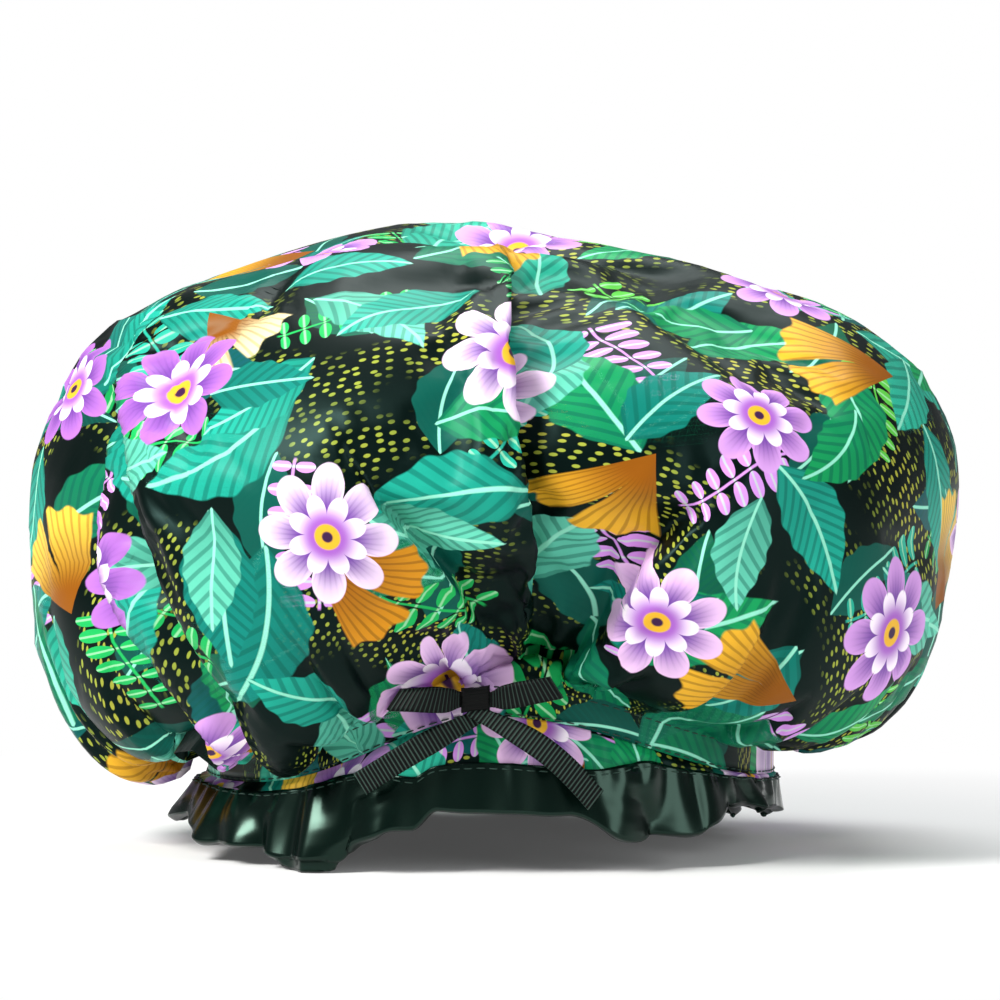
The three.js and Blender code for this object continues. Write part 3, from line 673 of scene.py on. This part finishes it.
def gatherLines():
    source = np.random.default_rng(gatherSet["seed"])
    made = []
    for number in range(gatherSet["count"]):
        turn = (number + source.uniform(*gatherSet["spread"])) / gatherSet["count"] * 2 * np.pi - np.pi
        start = source.uniform(*gatherSet["start"])
        drift = source.normal(0, gatherSet["drift"])
        width = source.uniform(*gatherSet["width"])
        depth = source.uniform(*gatherSet["depth"])
        made.append({
            "turn": turn, "start": start, "drift": drift, "depth": depth, "over": source.choice([-1, 1]),
            "steep": width, "gentle": width * gatherSet["gentle"], "lip": gatherSet["lip"],
        })
    return made


gathers = gatherLines()


def reachAt(share):
    return np.maximum(np.interp(share, profileShare, profileReach), crown["leastReach"])


def foldAway(fold, turn, share):
    turns, shares = np.array(fold["path"]).T
    return wrap(turn - np.interp(share, shares, np.radians(turns))) * reachAt(share), shares[0]


def fadeAlong(share, start, settings):
    grown = smoothStep(share, start, start + settings["fadeIn"])
    return grown * (1 - smoothStep(share, *settings["fadeOut"]) * settings["flatten"])


def crownPoints(turn, share):
    base = crownBase(turn, share)
    normal, sideways = surfaceFrame(crownBase, turn, share, 1e-3)
    bowCalm = foldSet["bowCalm"] * smoothStep(share, *foldSet["calmFrom"])
    bowCalm = bowCalm * bell(turn, 0, foldSet["calmTurn"], 4)
    presses = []
    for fold in foldLines:
        offset, start = foldAway(fold, turn, share)
        presses.append((fold, offset, fadeAlong(share, start, foldSet) * (1 - bowCalm), foldSet["shear"]))
    for fold in gathers:
        pull = gatherSet["pull"] * smoothStep(share, *gatherSet["pullFrom"])
        pull = 1 - pull * bell(fold["turn"], 0, gatherSet["pullTurn"])
        away = wrap(turn - (fold["turn"] * pull + fold["drift"] * (1 - share)))
        fade = fadeAlong(share, fold["start"], gatherSet)
        presses.append((fold, away * reachAt(share), fade, gatherSet["shear"]))
    moved = base.copy()
    for fold, offset, fade, shear in presses:
        sink, lip = foldSink(offset, fold)
        moved += normal * ((lip - sink) * fade)[..., None]
        moved += sideways * (sink * fade * shear * fold["over"])[..., None]
    swell = np.sin(3 * turn + 0.7) * np.sin(7 * share + 1.1)
    swell = swell + 0.6 * np.sin(5 * turn - 1.9) * np.sin(11 * share)
    puff = crown["puff"] * swell * smoothStep(share, 0.1, 0.35) * (1 - smoothStep(share, 0.85, 1))
    moved = moved + normal * puff[..., None]
    # the casing stays round the elastic
    across, along = moved[..., 0] - middleX, moved[..., 1] - middleY
    out = np.maximum(np.hypot(across / neck["halfWidth"], along / neck["halfDepth"]), 1e-6)
    over = 1 + (1 / np.minimum(out, 1) - 1) * smoothStep(share, *crown["roundFrom"])
    moved[..., 0], moved[..., 1] = middleX + across * over, middleY + along * over
    return base, normal, moved


crownCloth = {
    "rings": 64, "frames": 26, "quality": 6, "mass": 0.12, "stretch": 14, "shear": 6, "bending": 0.15,
    "damping": 8, "pressure": 4.3, "growth": 0.06, "gravity": 0.05, "hold": 0.05,
    "foldHold": 0.9, "foldWidth": 0.005, "bowFrom": (0.88, 0.93), "bowTurn": 0.2,
}


def crownGrid(rings):
    share, angle, quads = discGrid(rings)
    share = share * (1 + casingShare)
    turn = wrap(angle)
    base, normal, points = crownPoints(turn, share)
    if np.sum(gridNormals(base, quads)[:, 2] * normal[:, 2]) < 0:
        quads = quads[:, ::-1]
    return share, turn, quads, base, normal, points


def crownPins(turn, share):
    pins = np.maximum(crownCloth["hold"], smoothStep(share, *crown["roundFrom"]))
    byBow = smoothStep(share, *crownCloth["bowFrom"]) * bell(turn, 0, crownCloth["bowTurn"], 4)
    pins = np.maximum(pins, byBow)
    for fold in foldLines:
        offset, start = foldAway(fold, turn, share)
        near = bell(offset, 0, crownCloth["foldWidth"]) * smoothStep(share, start + 0.06, start + 0.16)
        pins = np.maximum(pins, crownCloth["foldHold"] * near)
    return pins


def settleCrown():
    width = 2 * crownCloth["rings"] + 1
    share, turn, quads, _, _, points = crownGrid(crownCloth["rings"])
    moved = settle(points, quads, crownPins(turn, share), crownCloth)
    return (moved - points).reshape(width, width, 3)


crownShift = settleCrown()
print("stage: crown settled")


def shiftFor(rings):
    spots = np.arange(2 * rings + 1) * crownCloth["rings"] / rings
    return finer(finer(crownShift, spots, 0), spots, 1).reshape(-1, 3)


def makeCrown():
    share, turn, quads, base, normal, points = crownGrid(crown["rings"])
    points = points + shiftFor(crown["rings"]) * (1 - smoothStep(share, 0.985, 1))[:, None]
    thing = shell("crown_cloth", points, quads, satin)
    extra = rimFaces(quads, len(points))
    flat = np.stack([share * np.sin(turn) * meridian, -share * np.cos(turn) * meridian, turn * 0], axis=-1)
    stampPrint(thing, base, normal, quads, flat, extra)
    cut = 2 * meridian * (1 + casingShare)
    disc = flat[:, :2] / cut
    bakeMap(thing, 0.39 + disc * 0.76, quads, extra, 0.885 + disc * 0.2)  # outside large, inside in a corner
    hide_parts("crown_outer")
    return points, quads


crownSurface = makeCrown()
print("stage: crown")

# lining: each point lies inside the crown, on the line from a heart point to it
lining = {"rings": 72, "inset": 0.0024, "casingInset": 0.0032, "heart": 0.12, "cut": 0.9, "slack": 0.4}


def nearby(values, width):
    grid = np.pad(values.reshape(width, width), 1, mode="edge")
    return np.stack([grid[a : a + width, b : b + width] for a in range(3) for b in range(3)])


def liningPoints(base, inset):
    tree = BVHTree.FromPolygons(*(part.tolist() for part in crownSurface))
    heart = np.array([middleX, middleY, lining["heart"]])
    ways = unit(base - heart)
    room = np.linalg.norm(base - heart, axis=1)
    for place, way in enumerate(ways):
        spot = tree.ray_cast(heart, way)[3]
        room[place] = min(room[place], spot) if spot else room[place]
    width = 2 * lining["rings"] + 1
    least = nearby(room - inset, width).min(axis=0)
    slack = inset.reshape(width, width) * lining["slack"]
    eased = np.minimum(nearby(least.ravel(), width).mean(axis=0), least + slack)
    return heart + ways * eased.reshape(-1, 1)


def makeLining():
    share, _, quads, base = crownGrid(lining["rings"])[:4]
    inset = lining["inset"] + (lining["casingInset"] - lining["inset"]) * smoothStep(share, 0.9, 0.99)
    thing = shell("lining_cloth", liningPoints(base, inset), quads, liningSatin)
    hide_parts("crown_lining")


makeLining()
print("stage: lining")

# frill: printed strip, dark lining and dark hem band share one ruffled surface
frill = {
    "around": 720, "down": 30, "gap": 0.0006, "band": 0.16, "frontBand": 0.34,
    "printRadius": 0.095, "printDrop": 0.03,
    "tuck": 0.0008, "tuckIn": 0.0014, "tuckEnd": (0.03, 0.12), "stand": 0.0004, "pleat": 0.0006,
    "flare": 0.003, "ruffleFlare": 0.006, "calmRight": 1.5,
    "ruffles": 17, "ruffleDepth": 0.0034, "ruffleSwing": 0.011, "ruffleRise": 0.0016, "ruffleLean": 1.3,
    "smallRuffles": 37, "smallDepth": 0.0009, "smallSwing": 0.002, "smallRise": 0.0003, "smallLean": 1.8,
    "hemFoot": 0.0030, "hemLift": 0.0150, "leastHeight": 0.0028, "lobe": (-0.64, 0.22),
    "leftLift": 0.0065, "leftEnd": (-1.45, 0.55),
    "rightLift": 0.0115, "rightEnd": 1.0, "rightWidths": (0.45, 0.9),
}
frillCloth = {
    "around": 360, "down": 13, "frames": 12, "quality": 6, "mass": 0.12, "stretch": 14, "shear": 5,
    "bending": 1.6, "damping": 6, "pressure": 0.0, "growth": 0.045, "gravity": 0.1, "hold": 0.1,
}


def flatFront(turn):
    turn = wrap(turn)
    return smoothStep(turn, -0.53, -0.2) * (1 - smoothStep(turn, 0.26, 0.56))


def hemHeight(turn):
    rising = 0.63 * smoothStep(turn, -0.53, -0.31) + 0.37 * smoothStep(turn, -0.26, -0.17)
    falling = (1 - 0.12 * smoothStep(turn, -0.1, 0.25)) * (1 - smoothStep(turn, 0.25, 0.53))
    rightWidth = np.where(turn < frill["rightEnd"], *frill["rightWidths"])
    ends = frill["hemLift"] * rising * falling + frill["leftLift"] * bell(turn, *frill["leftEnd"])
    return ends + frill["rightLift"] * bell(turn, frill["rightEnd"], rightWidth) + frill["hemFoot"]


def frillStart(turn, share):
    share = np.maximum(share, 0)
    front, wrapped, right = flatFront(turn), wrap(turn), frill["calmRight"]
    top = neckHeight(turn) - cloth["casingHeight"] / 2 + frill["tuck"]
    hem = hemHeight(wrapped)
    calm = (1 - 0.9 * front) * (1 - 0.45 * bell(np.abs(wrapped), right, 0.4))
    calm = calm * (1 - 0.5 * bell(wrapped, right, 0.35))
    # ruffles of uneven width: two waves round the cap, each with a wandering phase
    phase = frill["ruffles"] * turn + 1.4 * np.sin(3 * turn + 0.5) + 0.9 * np.sin(5 * turn + 2)
    smallPhase = frill["smallRuffles"] * turn + 1.7 * np.sin(4 * turn + 1.1) + 1.2 * np.sin(7 * turn)
    lean, smallLean = frill["ruffleLean"], frill["smallLean"]
    depth = frill["ruffleDepth"] * calm * (1 + 0.4 * np.sin(4 * turn + 1))
    smallDepth = frill["smallDepth"] * calm * (1 + 0.6 * np.sin(6 * turn + 0.4))
    wave = depth * np.sin(phase + lean * share) * share**1.1
    wave = wave + smallDepth * np.sin(smallPhase - smallLean * share) * share
    hidden = 1 - smoothStep(share, *frill["tuckEnd"])
    pleat = frill["pleat"] * (1 - share) * (1 - hidden)
    pleat = pleat * np.sin(gatherSet["count"] * turn + 2 * np.sin(3 * turn))
    flare = frill["flare"] + frill["ruffleFlare"] * (1 - front) * (0.55 - 0.3 * np.sin(turn))
    flare = flare * (1 - 0.95 * bell(wrapped, right, 0.7))
    out = frill["stand"] - frill["tuckIn"] * hidden + flare * share**0.8 + wave + pleat
    swing = frill["ruffleSwing"] * np.sin(2 * phase - 0.3) + frill["smallSwing"] * np.sin(2 * smallPhase)
    swing = turn - calm * share * swing
    rise = frill["ruffleRise"] * (1 - np.sin(phase + lean))
    rise = rise + frill["smallRise"] * (1 - np.sin(smallPhase - smallLean))
    rise = calm * share**2 * rise * (1 - 0.85 * bell(wrapped, *frill["lobe"]))
    x = middleX + (neck["halfWidth"] + out) * np.sin(swing)
    y = middleY - (neck["halfDepth"] + out) * np.cos(swing)
    return np.stack([x, y, top + (hem - top) * share + rise], axis=-1)


def settleFrill():
    around, down = frillCloth["around"], frillCloth["down"]
    turn = np.tile(turnsAround(around), down)
    share = np.repeat(np.linspace(0, 1, down), around)
    start = frillStart(turn, share)
    pins = np.maximum(frillCloth["hold"], 1 - smoothStep(share, 0.0, 0.12))
    pins = np.maximum(pins, smoothStep(flatFront(turn), 0.1, 0.5))
    shift = (settle(start, ringGrid(around, down), pins, frillCloth) - start).reshape(down, around, 3)
    for way in (1, 2, 1):
        shift = (np.roll(shift, way, axis=1) + 2 * shift + np.roll(shift, -way, axis=1)) / 4
    return shift


frillShift = settleFrill()
print("stage: frill settled")


def frillPoint(turn, share):
    around, down = frillCloth["around"], frillCloth["down"]
    first = (turn + np.pi) / (2 * np.pi) * around
    second = np.clip(share, 0, 1) * (down - 1)
    left, top = np.floor(first).astype(int), np.minimum(np.floor(second).astype(int), down - 2)
    part, drop = smoothStep((first - left)[..., None], 0, 1), smoothStep((second - top)[..., None], 0, 1)
    near, far = left % around, (left + 1) % around
    rows = (top, top + 1)
    upper, lower = (frillShift[row, near] * (1 - part) + frillShift[row, far] * part for row in rows)
    spots = frillStart(turn, share) + upper * (1 - drop) + lower * drop
    spots[..., 2] = np.maximum(spots[..., 2], frill["leastHeight"])
    return spots


def bandTop(turn):
    return frill["band"] + frill["frontBand"] * flatFront(turn)


frillTurn = turnsAround(frill["around"])


def frillRows(shares, offsets):
    turns = np.tile(frillTurn, len(shares))
    spots = np.concatenate([np.broadcast_to(share, frillTurn.shape) for share in shares])
    outs = np.concatenate([np.broadcast_to(offset, frillTurn.shape) for offset in offsets])
    normal = surfaceFrame(frillPoint, turns, spots, 4e-3)[0]
    points = frillPoint(turns, spots) + normal * outs[:, None]
    return turns, spots, points, ringGrid(frill["around"], len(shares))


def makeFrill():
    turns, spots, points, quads = frillRows(np.linspace(0, 1, frill["down"]), np.zeros(frill["down"]))
    thing = shell("frill_cloth", points, quads, satin)
    extra = rimFaces(quads, len(points))
    strip = np.stack([turns * frill["printRadius"], spots * -frill["printDrop"], turns * 0], axis=-1)
    normals = np.broadcast_to([0.0, -1.0, 0.0], strip.shape)
    stampPrint(thing, strip[:, [0, 2, 1]], normals, quads, strip, extra)
    place = np.stack([0.02 + 0.96 * (turns + np.pi) / (2 * np.pi), 0.55 + 0.4 * (1 - spots)], axis=-1)
    bakeMap(thing, place, quads, extra, place * [1, 0.2])
    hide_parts("frill_outer")


def makeFrillLining():
    inset = -(cloth["thickness"] + frill["gap"])
    points, quads = frillRows(np.linspace(0, 1, frill["down"]), np.full(frill["down"], inset))[2:]
    thing = shell("frill_lining_cloth", points, quads, darkSatin)
    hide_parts("frill_lining")


hemBand = {"outRows": 22, "edgeRows": 8, "inRows": 14, "edge": 0.03, "slack": 0.0002}


def makeHemBand():
    top = bandTop(frillTurn)
    outside = cloth["thickness"] + frill["gap"]
    inside = -(2 * cloth["thickness"] + 2 * frill["gap"] + hemBand["slack"])
    middle, half = (outside + inside) / 2, (outside - inside) / 2
    rows = [(top + (1 - top) * step, outside) for step in np.linspace(0, 1, hemBand["outRows"])]
    for angle in np.linspace(0, np.pi, hemBand["edgeRows"])[1:-1]:
        rows.append((1 + hemBand["edge"] * np.sin(angle), middle + half * np.cos(angle)))
    rows += [(top + (1 - top) * step, inside) for step in np.linspace(1, 0, hemBand["inRows"])]
    points, quads = frillRows(*zip(*rows))[2:]
    thing = shell("hem_band_cloth", points, quads, darkSatin)
    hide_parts("hem_band")


makeFrill()
makeFrillLining()
makeHemBand()
print("stage: frill")

# bow: grosgrain ribbon with real ribs; each strip is a path with the ribbon's own width direction along it
ribbon = {"width": 0.0068, "thickness": 0.0006, "pitch": 0.00116, "rib": 0.00022, "perRib": 6}
bow = {
    "left": {"way": -1, "reach": 0.0164, "tilt": 1, "forward": 24, "lean": 36},  # degrees
    "right": {"way": 1, "reach": 0.0158, "tilt": 11, "forward": 16, "lean": 34},
    "fullness": 0.0034,
    "root": (0.0003, -0.0006),
    "stub": 0.0055, "pinch": 0.66, "pinchEnd": 0.3,  # the knot pinches the tails
}
knotMiddle = np.array((knotLow + knotHigh) / 2)
knotHalf = np.array((knotHigh - knotLow) / 2)


def smoothPath(points, count):
    padded = np.concatenate([[2 * points[0] - points[1]], points, [2 * points[-1] - points[-2]]])
    return finer(padded, np.linspace(1, len(points), count), 0)


def evenPath(points, step):
    fine = smoothPath(points, 400)
    length = lengthAlong(fine[:, :3])
    count = max(8, int(round(length[-1] / step)) + 1)
    at = np.linspace(0, length[-1], count)
    return sample(at, length, fine), at


def ribbonStrip(points, sides, highlightStrength=1.0):
    path, at = evenPath(np.concatenate([points, sides], axis=1), ribbon["pitch"] / ribbon["perRib"])
    centre, side = path[:, :3], path[:, 3:]
    ahead = unit(np.gradient(centre, axis=0))
    normal = unit(np.cross(unit(side), ahead))
    across = np.linspace(-0.5, 0.5, 7)
    rib = np.abs(np.sin(np.pi * at / ribbon["pitch"]))
    rows = []
    for way in (1, -1):
        lift = (ribbon["thickness"] / 2 + ribbon["rib"] * rib)[:, None, None] * normal[:, None, :] * way
        rows.append(centre[:, None, :] + side[:, None, :] * across[None, :, None] * ribbon["width"] + lift)
    ring = 2 * len(across)
    points = np.concatenate([rows[0], rows[1][:, ::-1]], axis=1).reshape(-1, 3)
    # the third value is the rib profile, scaled for the painted highlight colour on rib tops
    return points, tubeFaces(ring, len(at)), np.repeat(rib * highlightStrength, ring)


def ribbonPiece(name, strips, body, node):
    points, faces, ribs = [], [], []
    for stripPoints, stripFaces, stripHighlights in strips:
        first = sum(len(some) for some in points)
        points.append(stripPoints)
        faces += [[place + first for place in face] for face in stripFaces]
        ribs.append(stripHighlights)
    thing = meshObject(name, np.concatenate(points), faces, body, ribbonCloth)
    # the rib profile is stored for the painted highlight colour on rib tops
    highlightAttribute = thing.data.attributes.new("paintedRibHighlight", "FLOAT", "POINT")
    highlightAttribute.data.foreach_set("value", np.concatenate(ribs).astype(np.float32))
    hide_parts(node)


def loopStrip(loop):
    way, reach = loop["way"], loop["reach"]
    tilt, swing, fullLean = (math.radians(loop[key]) for key in ("tilt", "forward", "lean"))
    forward = np.array([way * math.cos(swing), -math.sin(swing), 0.0])
    ahead = forward * math.cos(tilt) + np.array([0.0, 0.0, math.sin(tilt)])
    out = np.array([-way * math.sin(swing), -math.cos(swing), 0.0])
    root = knotMiddle + np.array([way * (knotHalf[0] + bow["root"][0]), bow["root"][1], 0.0])
    full = bow["fullness"]
    # along the loop, out from its middle, and how much of the lean and of the width the ribbon has there
    course = [
        (-0.0008, 0.0008, 0.0, 0.6),
        (0.0010, 0.0013, 0.03, 0.68),
        (0.3 * reach, full * 0.95, 0.2, 0.98),
        (0.62 * reach, full * 1.1, 0.5, 1.0),
        (0.88 * reach, full * 0.85, 0.85, 1.0),
        (1.0 * reach + 0.0022, full * 0.1, 1.0, 1.0),
        (0.9 * reach + 0.0018, -full * 0.55, 0.9, 1.0),
        (0.62 * reach, -full * 0.75, 0.55, 1.0),
        (0.3 * reach, -full * 0.55, 0.2, 0.98),
        (0.0010, -0.0007, 0.03, 0.68),
        (-0.0008, -0.0005, 0.0, 0.6),
    ]
    points, sides = [], []
    for along, aside, leanPart, wide in course:
        lean = fullLean * leanPart
        points.append(root + ahead * along + out * aside)
        sides.append((np.array([0.0, 0.0, 1.0]) * math.cos(lean) - forward * math.sin(lean)) * wide)
    # the loops get a slightly weaker painted highlight on their rib tops
    return ribbonStrip(np.array(points), np.array(sides), 0.9)


ribbonPiece("left_loop_ribbon", [loopStrip(bow["left"])], "left_loop", "bow_loop_left")
ribbonPiece("right_loop_ribbon", [loopStrip(bow["right"])], "right_loop", "bow_loop_right")

# tails: each starts on its hinge line, and a stub in the knot carries it in
tails = {
    "left": {"start": (-0.0026, 0.0007, -0.0065), "tip": (-0.0314, 0.0053, -0.0236),
             "side": (-0.515, 0.0, 0.857), "bulge": 0.0028, "bow": 0.0006, "twist": 0.25},
    "right": {"start": (0.0033, -0.0007, -0.0051), "tip": (0.0327, 0.0021, -0.0278),
              "side": (0.616, 0.0, 0.788), "bulge": 0.0026, "bow": 0.0026, "twist": -0.2},
}


def tailStrips(tail):
    start, tip, side = knotMiddle + tail["start"], knotMiddle + tail["tip"], np.array(tail["side"])
    outward = np.array([0.0, -1.0, 0.0])
    turned = np.cross(outward, unit(tip - start))
    turned = unit(turned) * np.sign(side @ turned)
    points, sides = [], []
    for part in np.linspace(0, 1, 9):
        arch = math.sin(math.pi * part)
        along = start + (tip - start) * part
        points.append(along + outward * tail["bulge"] * arch + side * tail["bow"] * arch)
        lie = side * (1 - min(1, part * 3)) + turned * min(1, part * 3)
        wide = bow["pinch"] + (1 - bow["pinch"]) * min(1, part / bow["pinchEnd"])
        sides.append(unit(lie + outward * tail["twist"] * math.sin(2.4 * part)) * wide)
    way = unit(points[1] - points[0])
    stubEnds = [start - way * bow["stub"] * share for share in (1.0, 0.66, 0.33, -0.02)]
    stub = ribbonStrip(np.array(stubEnds), np.array([sides[0] * narrow for narrow in (0.8, 0.9, 0.97, 1.0)]))
    return ribbonStrip(np.array(points), np.array(sides)), stub


leftTailStrip, leftStub = tailStrips(tails["left"])
rightTailStrip, rightStub = tailStrips(tails["right"])
ribbonPiece("left_tail_ribbon", [leftTailStrip], "left_tail", "bow_tail_left")
ribbonPiece("right_tail_ribbon", [rightTailStrip], "right_tail", "bow_tail_right")


# the knot's last setting sets how strong the painted highlight on its rib tops is
knot = {
    "around": 150, "rows": 11, "square": 0.7, "inset": (0.0004, 0.0002, 0.0005), "pinch": 0.10,
    "skew": 0.0004, "caps": [(0.86, 0.55, 0.55), (0.97, 0.8, 0.8)], "highlightStrength": 0.7,
}


def knotStrip():
    half = knotHalf - knot["inset"]
    angle = np.linspace(0, 2 * np.pi, knot["around"], endpoint=False)
    up = np.sign(np.sin(angle)) * np.abs(np.sin(angle)) ** knot["square"] * half[2]
    out = np.sign(np.cos(angle)) * np.abs(np.cos(angle)) ** knot["square"] * half[1]
    ring = np.stack([0 * up, out, up], axis=1)
    length = lengthAlong(ring)
    ribs = round(length[-1] / ribbon["pitch"])
    rib = np.abs(np.sin(np.pi * ribs * length / length[-1]))
    ring = ring + unit(ring) * (ribbon["rib"] * (rib - 1))[:, None]
    rows = []
    for across in np.linspace(-1, 1, knot["rows"]):
        pinch = 1 - knot["pinch"] * (1 - across * across)
        rows.append(ring * [1, 1, pinch] + [across * half[0], 0, knot["skew"] * across])
    caps = knot["caps"]
    rows = [rows[0] * cap for cap in caps] + rows + [rows[-1] * cap for cap in caps[::-1]]
    faces = tubeFaces(knot["around"], len(rows))
    # the rib profile also carries the painted highlight colour on the knot's rib tops
    return np.concatenate(rows) + knotMiddle, faces, np.tile(rib * knot["highlightStrength"], len(rows))


ribbonPiece("knot_ribbon", [knotStrip(), leftStub, rightStub], "cap", "bow_knot")
print("stage: bow")

# stitches: short thread pieces in rows
stitch = {
    "length": 0.0024, "gap": 0.0011, "radius": 0.0002, "sides": 6, "rings": 6, "stand": 0.4,
    "casingSteps": 900, "hemSteps": 1400, "hemDrop": 0.06,
    "arch": (-0.9, 0.3, 0.75, 0.75, 0.3, -0.9), "girth": (0.6, 0.95, 1, 1, 0.95, 0.6),
}


def stitchRow(name, places, normals, node):
    closed = np.concatenate([places, places[:1]])
    closedNormals = np.concatenate([normals, normals[:1]])
    length = lengthAlong(closed)
    count = int(length[-1] / (stitch["length"] + stitch["gap"]))
    arch = np.array(stitch["arch"])[:, None] * stitch["radius"]
    girth = np.array(stitch["girth"])[:, None, None] * stitch["radius"]
    angle = (np.arange(stitch["sides"]) * np.pi * 2 / stitch["sides"])[:, None]
    perStitch = stitch["sides"] * stitch["rings"]
    around = ringGrid(stitch["sides"], stitch["rings"])[:, [0, 3, 2, 1]].tolist()
    ends = tubeFaces(stitch["sides"], stitch["rings"])[-2:]
    points, faces = [], []
    for number in range(count):
        at = (number + 0.5) / count * length[-1] + stitch["length"] * np.linspace(-0.5, 0.5, stitch["rings"])
        at = np.clip(at, 0, length[-1])
        path, normal = sample(at, length, closed), unit(sample(at, length, closedNormals))
        side = np.cross(normal, unit(np.gradient(path, axis=0)))
        ring = normal[:, None] * np.sin(angle) + side[:, None] * np.cos(angle)
        points.append(((path + normal * arch)[:, None] + ring * girth).reshape(-1, 3))
        faces += [[place + number * perStitch for place in face] for face in around + ends]
    thing = meshObject(name, np.concatenate(points), faces, "cap", threadCloth)
    if node:
        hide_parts(node)


def casingRow(name, drop, node):
    turn = turnsAround(stitch["casingSteps"])
    _, normal, points = crownPoints(turn, 1 + casingShare * drop + 0 * turn)
    stitchRow(name, points + normal * stitch["radius"] * stitch["stand"], normal, node)


def hemRow():
    turn = turnsAround(stitch["hemSteps"])
    share = bandTop(turn) + stitch["hemDrop"]
    normal = surfaceFrame(frillPoint, turn, share, 1e-3)[0]
    lift = cloth["thickness"] + frill["gap"] + stitch["radius"] * stitch["stand"]
    stitchRow("hem_stitches", frillPoint(turn, share) + normal * lift, normal, None)


casingRow("upper_stitches", 0.08, "upper_casing_thread")
casingRow("lower_stitches", 0.92, "lower_casing_thread")
hemRow()
tack = {"strands": 4, "spread": 0.0008, "radius": 0.0005, "firstAngle": 0.4}


def makeTack():
    low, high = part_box("bow_tack")
    middle = (low + high) / 2
    strands = []
    for number in range(tack["strands"]):
        angle = number * 2 * math.pi / tack["strands"] + tack["firstAngle"]
        across, up = tack["spread"] * math.cos(angle), tack["spread"] * math.sin(angle)
        bpy.ops.mesh.primitive_cylinder_add(
            vertices=12, radius=tack["radius"], depth=high.y - low.y,
            location=(middle.x + across, middle.y, middle.z + up), rotation=(math.pi / 2, 0, 0),
        )
        strands.append(bpy.context.object)
    for strand in strands:
        strand.select_set(True)
    bpy.context.view_layer.objects.active = strands[0]
    bpy.ops.object.join()
    bpy.ops.object.transform_apply(location=True, rotation=True, scale=True)
    bpy.ops.object.shade_smooth_by_angle(angle=math.radians(40))
    thing = bpy.context.object
    thing.name = "tack_threads"
    thing.data.materials.append(threadCloth)
    bpy.ops.object.select_all(action="DESELECT")
    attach(thing, "cap")
    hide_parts("bow_tack")


makeTack()
frame["nodes"]["elastic_band"].data.materials.clear()
frame["nodes"]["elastic_band"].data.materials.append(webbing)
print("stage: stitches")

# stage, light and camera
view = {
    "distance": 1.35, "elevation": math.radians(2), "target": (0.0025, 0.0, 0.100),
    "width": 0.29, "sensor": 36,
}
stage = {"size": 8, "glow": 0.06, "glowFrom": (0.12, 0.34), "soft": 0.22, "aim": (0, 0, 0.09)}


def mixShaders(tree, share, first, second, out):
    mix = addNode(tree, "MixShader", Fac=share)
    tree.links.new(first.outputs[0], mix.inputs[1])
    tree.links.new(second.outputs[0], mix.inputs[2])
    tree.links.new(mix.outputs[0], out.inputs["Surface"])


def makeFloor():
    bpy.ops.mesh.primitive_plane_add(size=stage["size"], location=(0, 0, 0))
    floor = bpy.context.object
    floor.name = "floor"
    material, shader = newMaterial("floorWhite", "#f4f4f4", 0.9)
    tree = material.node_tree
    spot = Wire(tree, addNode(tree, "TexCoord").outputs["Object"])
    far = addNode(tree, "VectorMath", Vector=spot)
    far.operation = "LENGTH"
    glow = addNode(tree, "Emission", Strength=1.0)
    share = ease(Wire(tree, far.outputs["Value"]), *stage["glowFrom"]) * (1 - stage["glow"]) + stage["glow"]
    mixShaders(tree, share, shader, glow, tree.nodes["Material Output"])
    floor.data.materials.append(material)


def makeLight(name, place, size, power, tint):
    data = bpy.data.lights.new(name, "AREA")
    data.shape = "RECTANGLE"
    data.size, data.size_y = size
    data.energy = power
    data.color = tint
    lamp = addObject(name, data)
    lamp.location = place
    aim = np.array(stage["aim"]) - np.array(place)
    lamp.rotation_euler = (math.atan2(math.hypot(aim[0], aim[1]), -aim[2]), 0, math.atan2(-aim[0], aim[1]))
    lamp.visible_camera = False


def makeWorld():
    world = bpy.data.worlds.new("studio")
    bpy.context.scene.world = world
    world.use_nodes = True
    tree = world.node_tree
    tree.nodes.clear()
    fromCamera = Wire(tree, addNode(tree, "LightPath").outputs["Is Camera Ray"])
    seen = addNode(tree, "Background", Color=(1, 1, 1, 1))
    soft = addNode(tree, "Background", Color=(0.95, 0.98, 1, 1), Strength=stage["soft"])
    mixShaders(tree, fromCamera, soft, seen, addNode(tree, "OutputWorld"))


def makeCamera():
    data = bpy.data.cameras.new("camera")
    data.sensor_width = view["sensor"]
    data.lens = view["sensor"] * view["distance"] / view["width"]
    data.clip_start, data.clip_end = 0.05, 50
    camera = addObject("camera", data)
    target = np.array(view["target"])
    tilt = view["elevation"]
    camera.location = target + view["distance"] * np.array([0, -math.cos(tilt), math.sin(tilt)])
    camera.rotation_euler = (math.pi / 2 - tilt, 0, 0)
    bpy.context.scene.camera = camera


makeFloor()
makeLight("key", (-0.85, -0.75, 0.95), (0.5, 0.5), 31, (1, 0.99, 0.97))
makeLight("fill", (0.95, -0.9, 0.45), (0.5, 0.9), 7, (0.97, 0.99, 1))
makeLight("top", (0.1, 0.35, 1.1), (0.9, 0.5), 9, (1, 1, 1))
makeWorld()
makeCamera()
bpy.context.scene.view_settings.view_transform = "Standard"
print("stage: light")
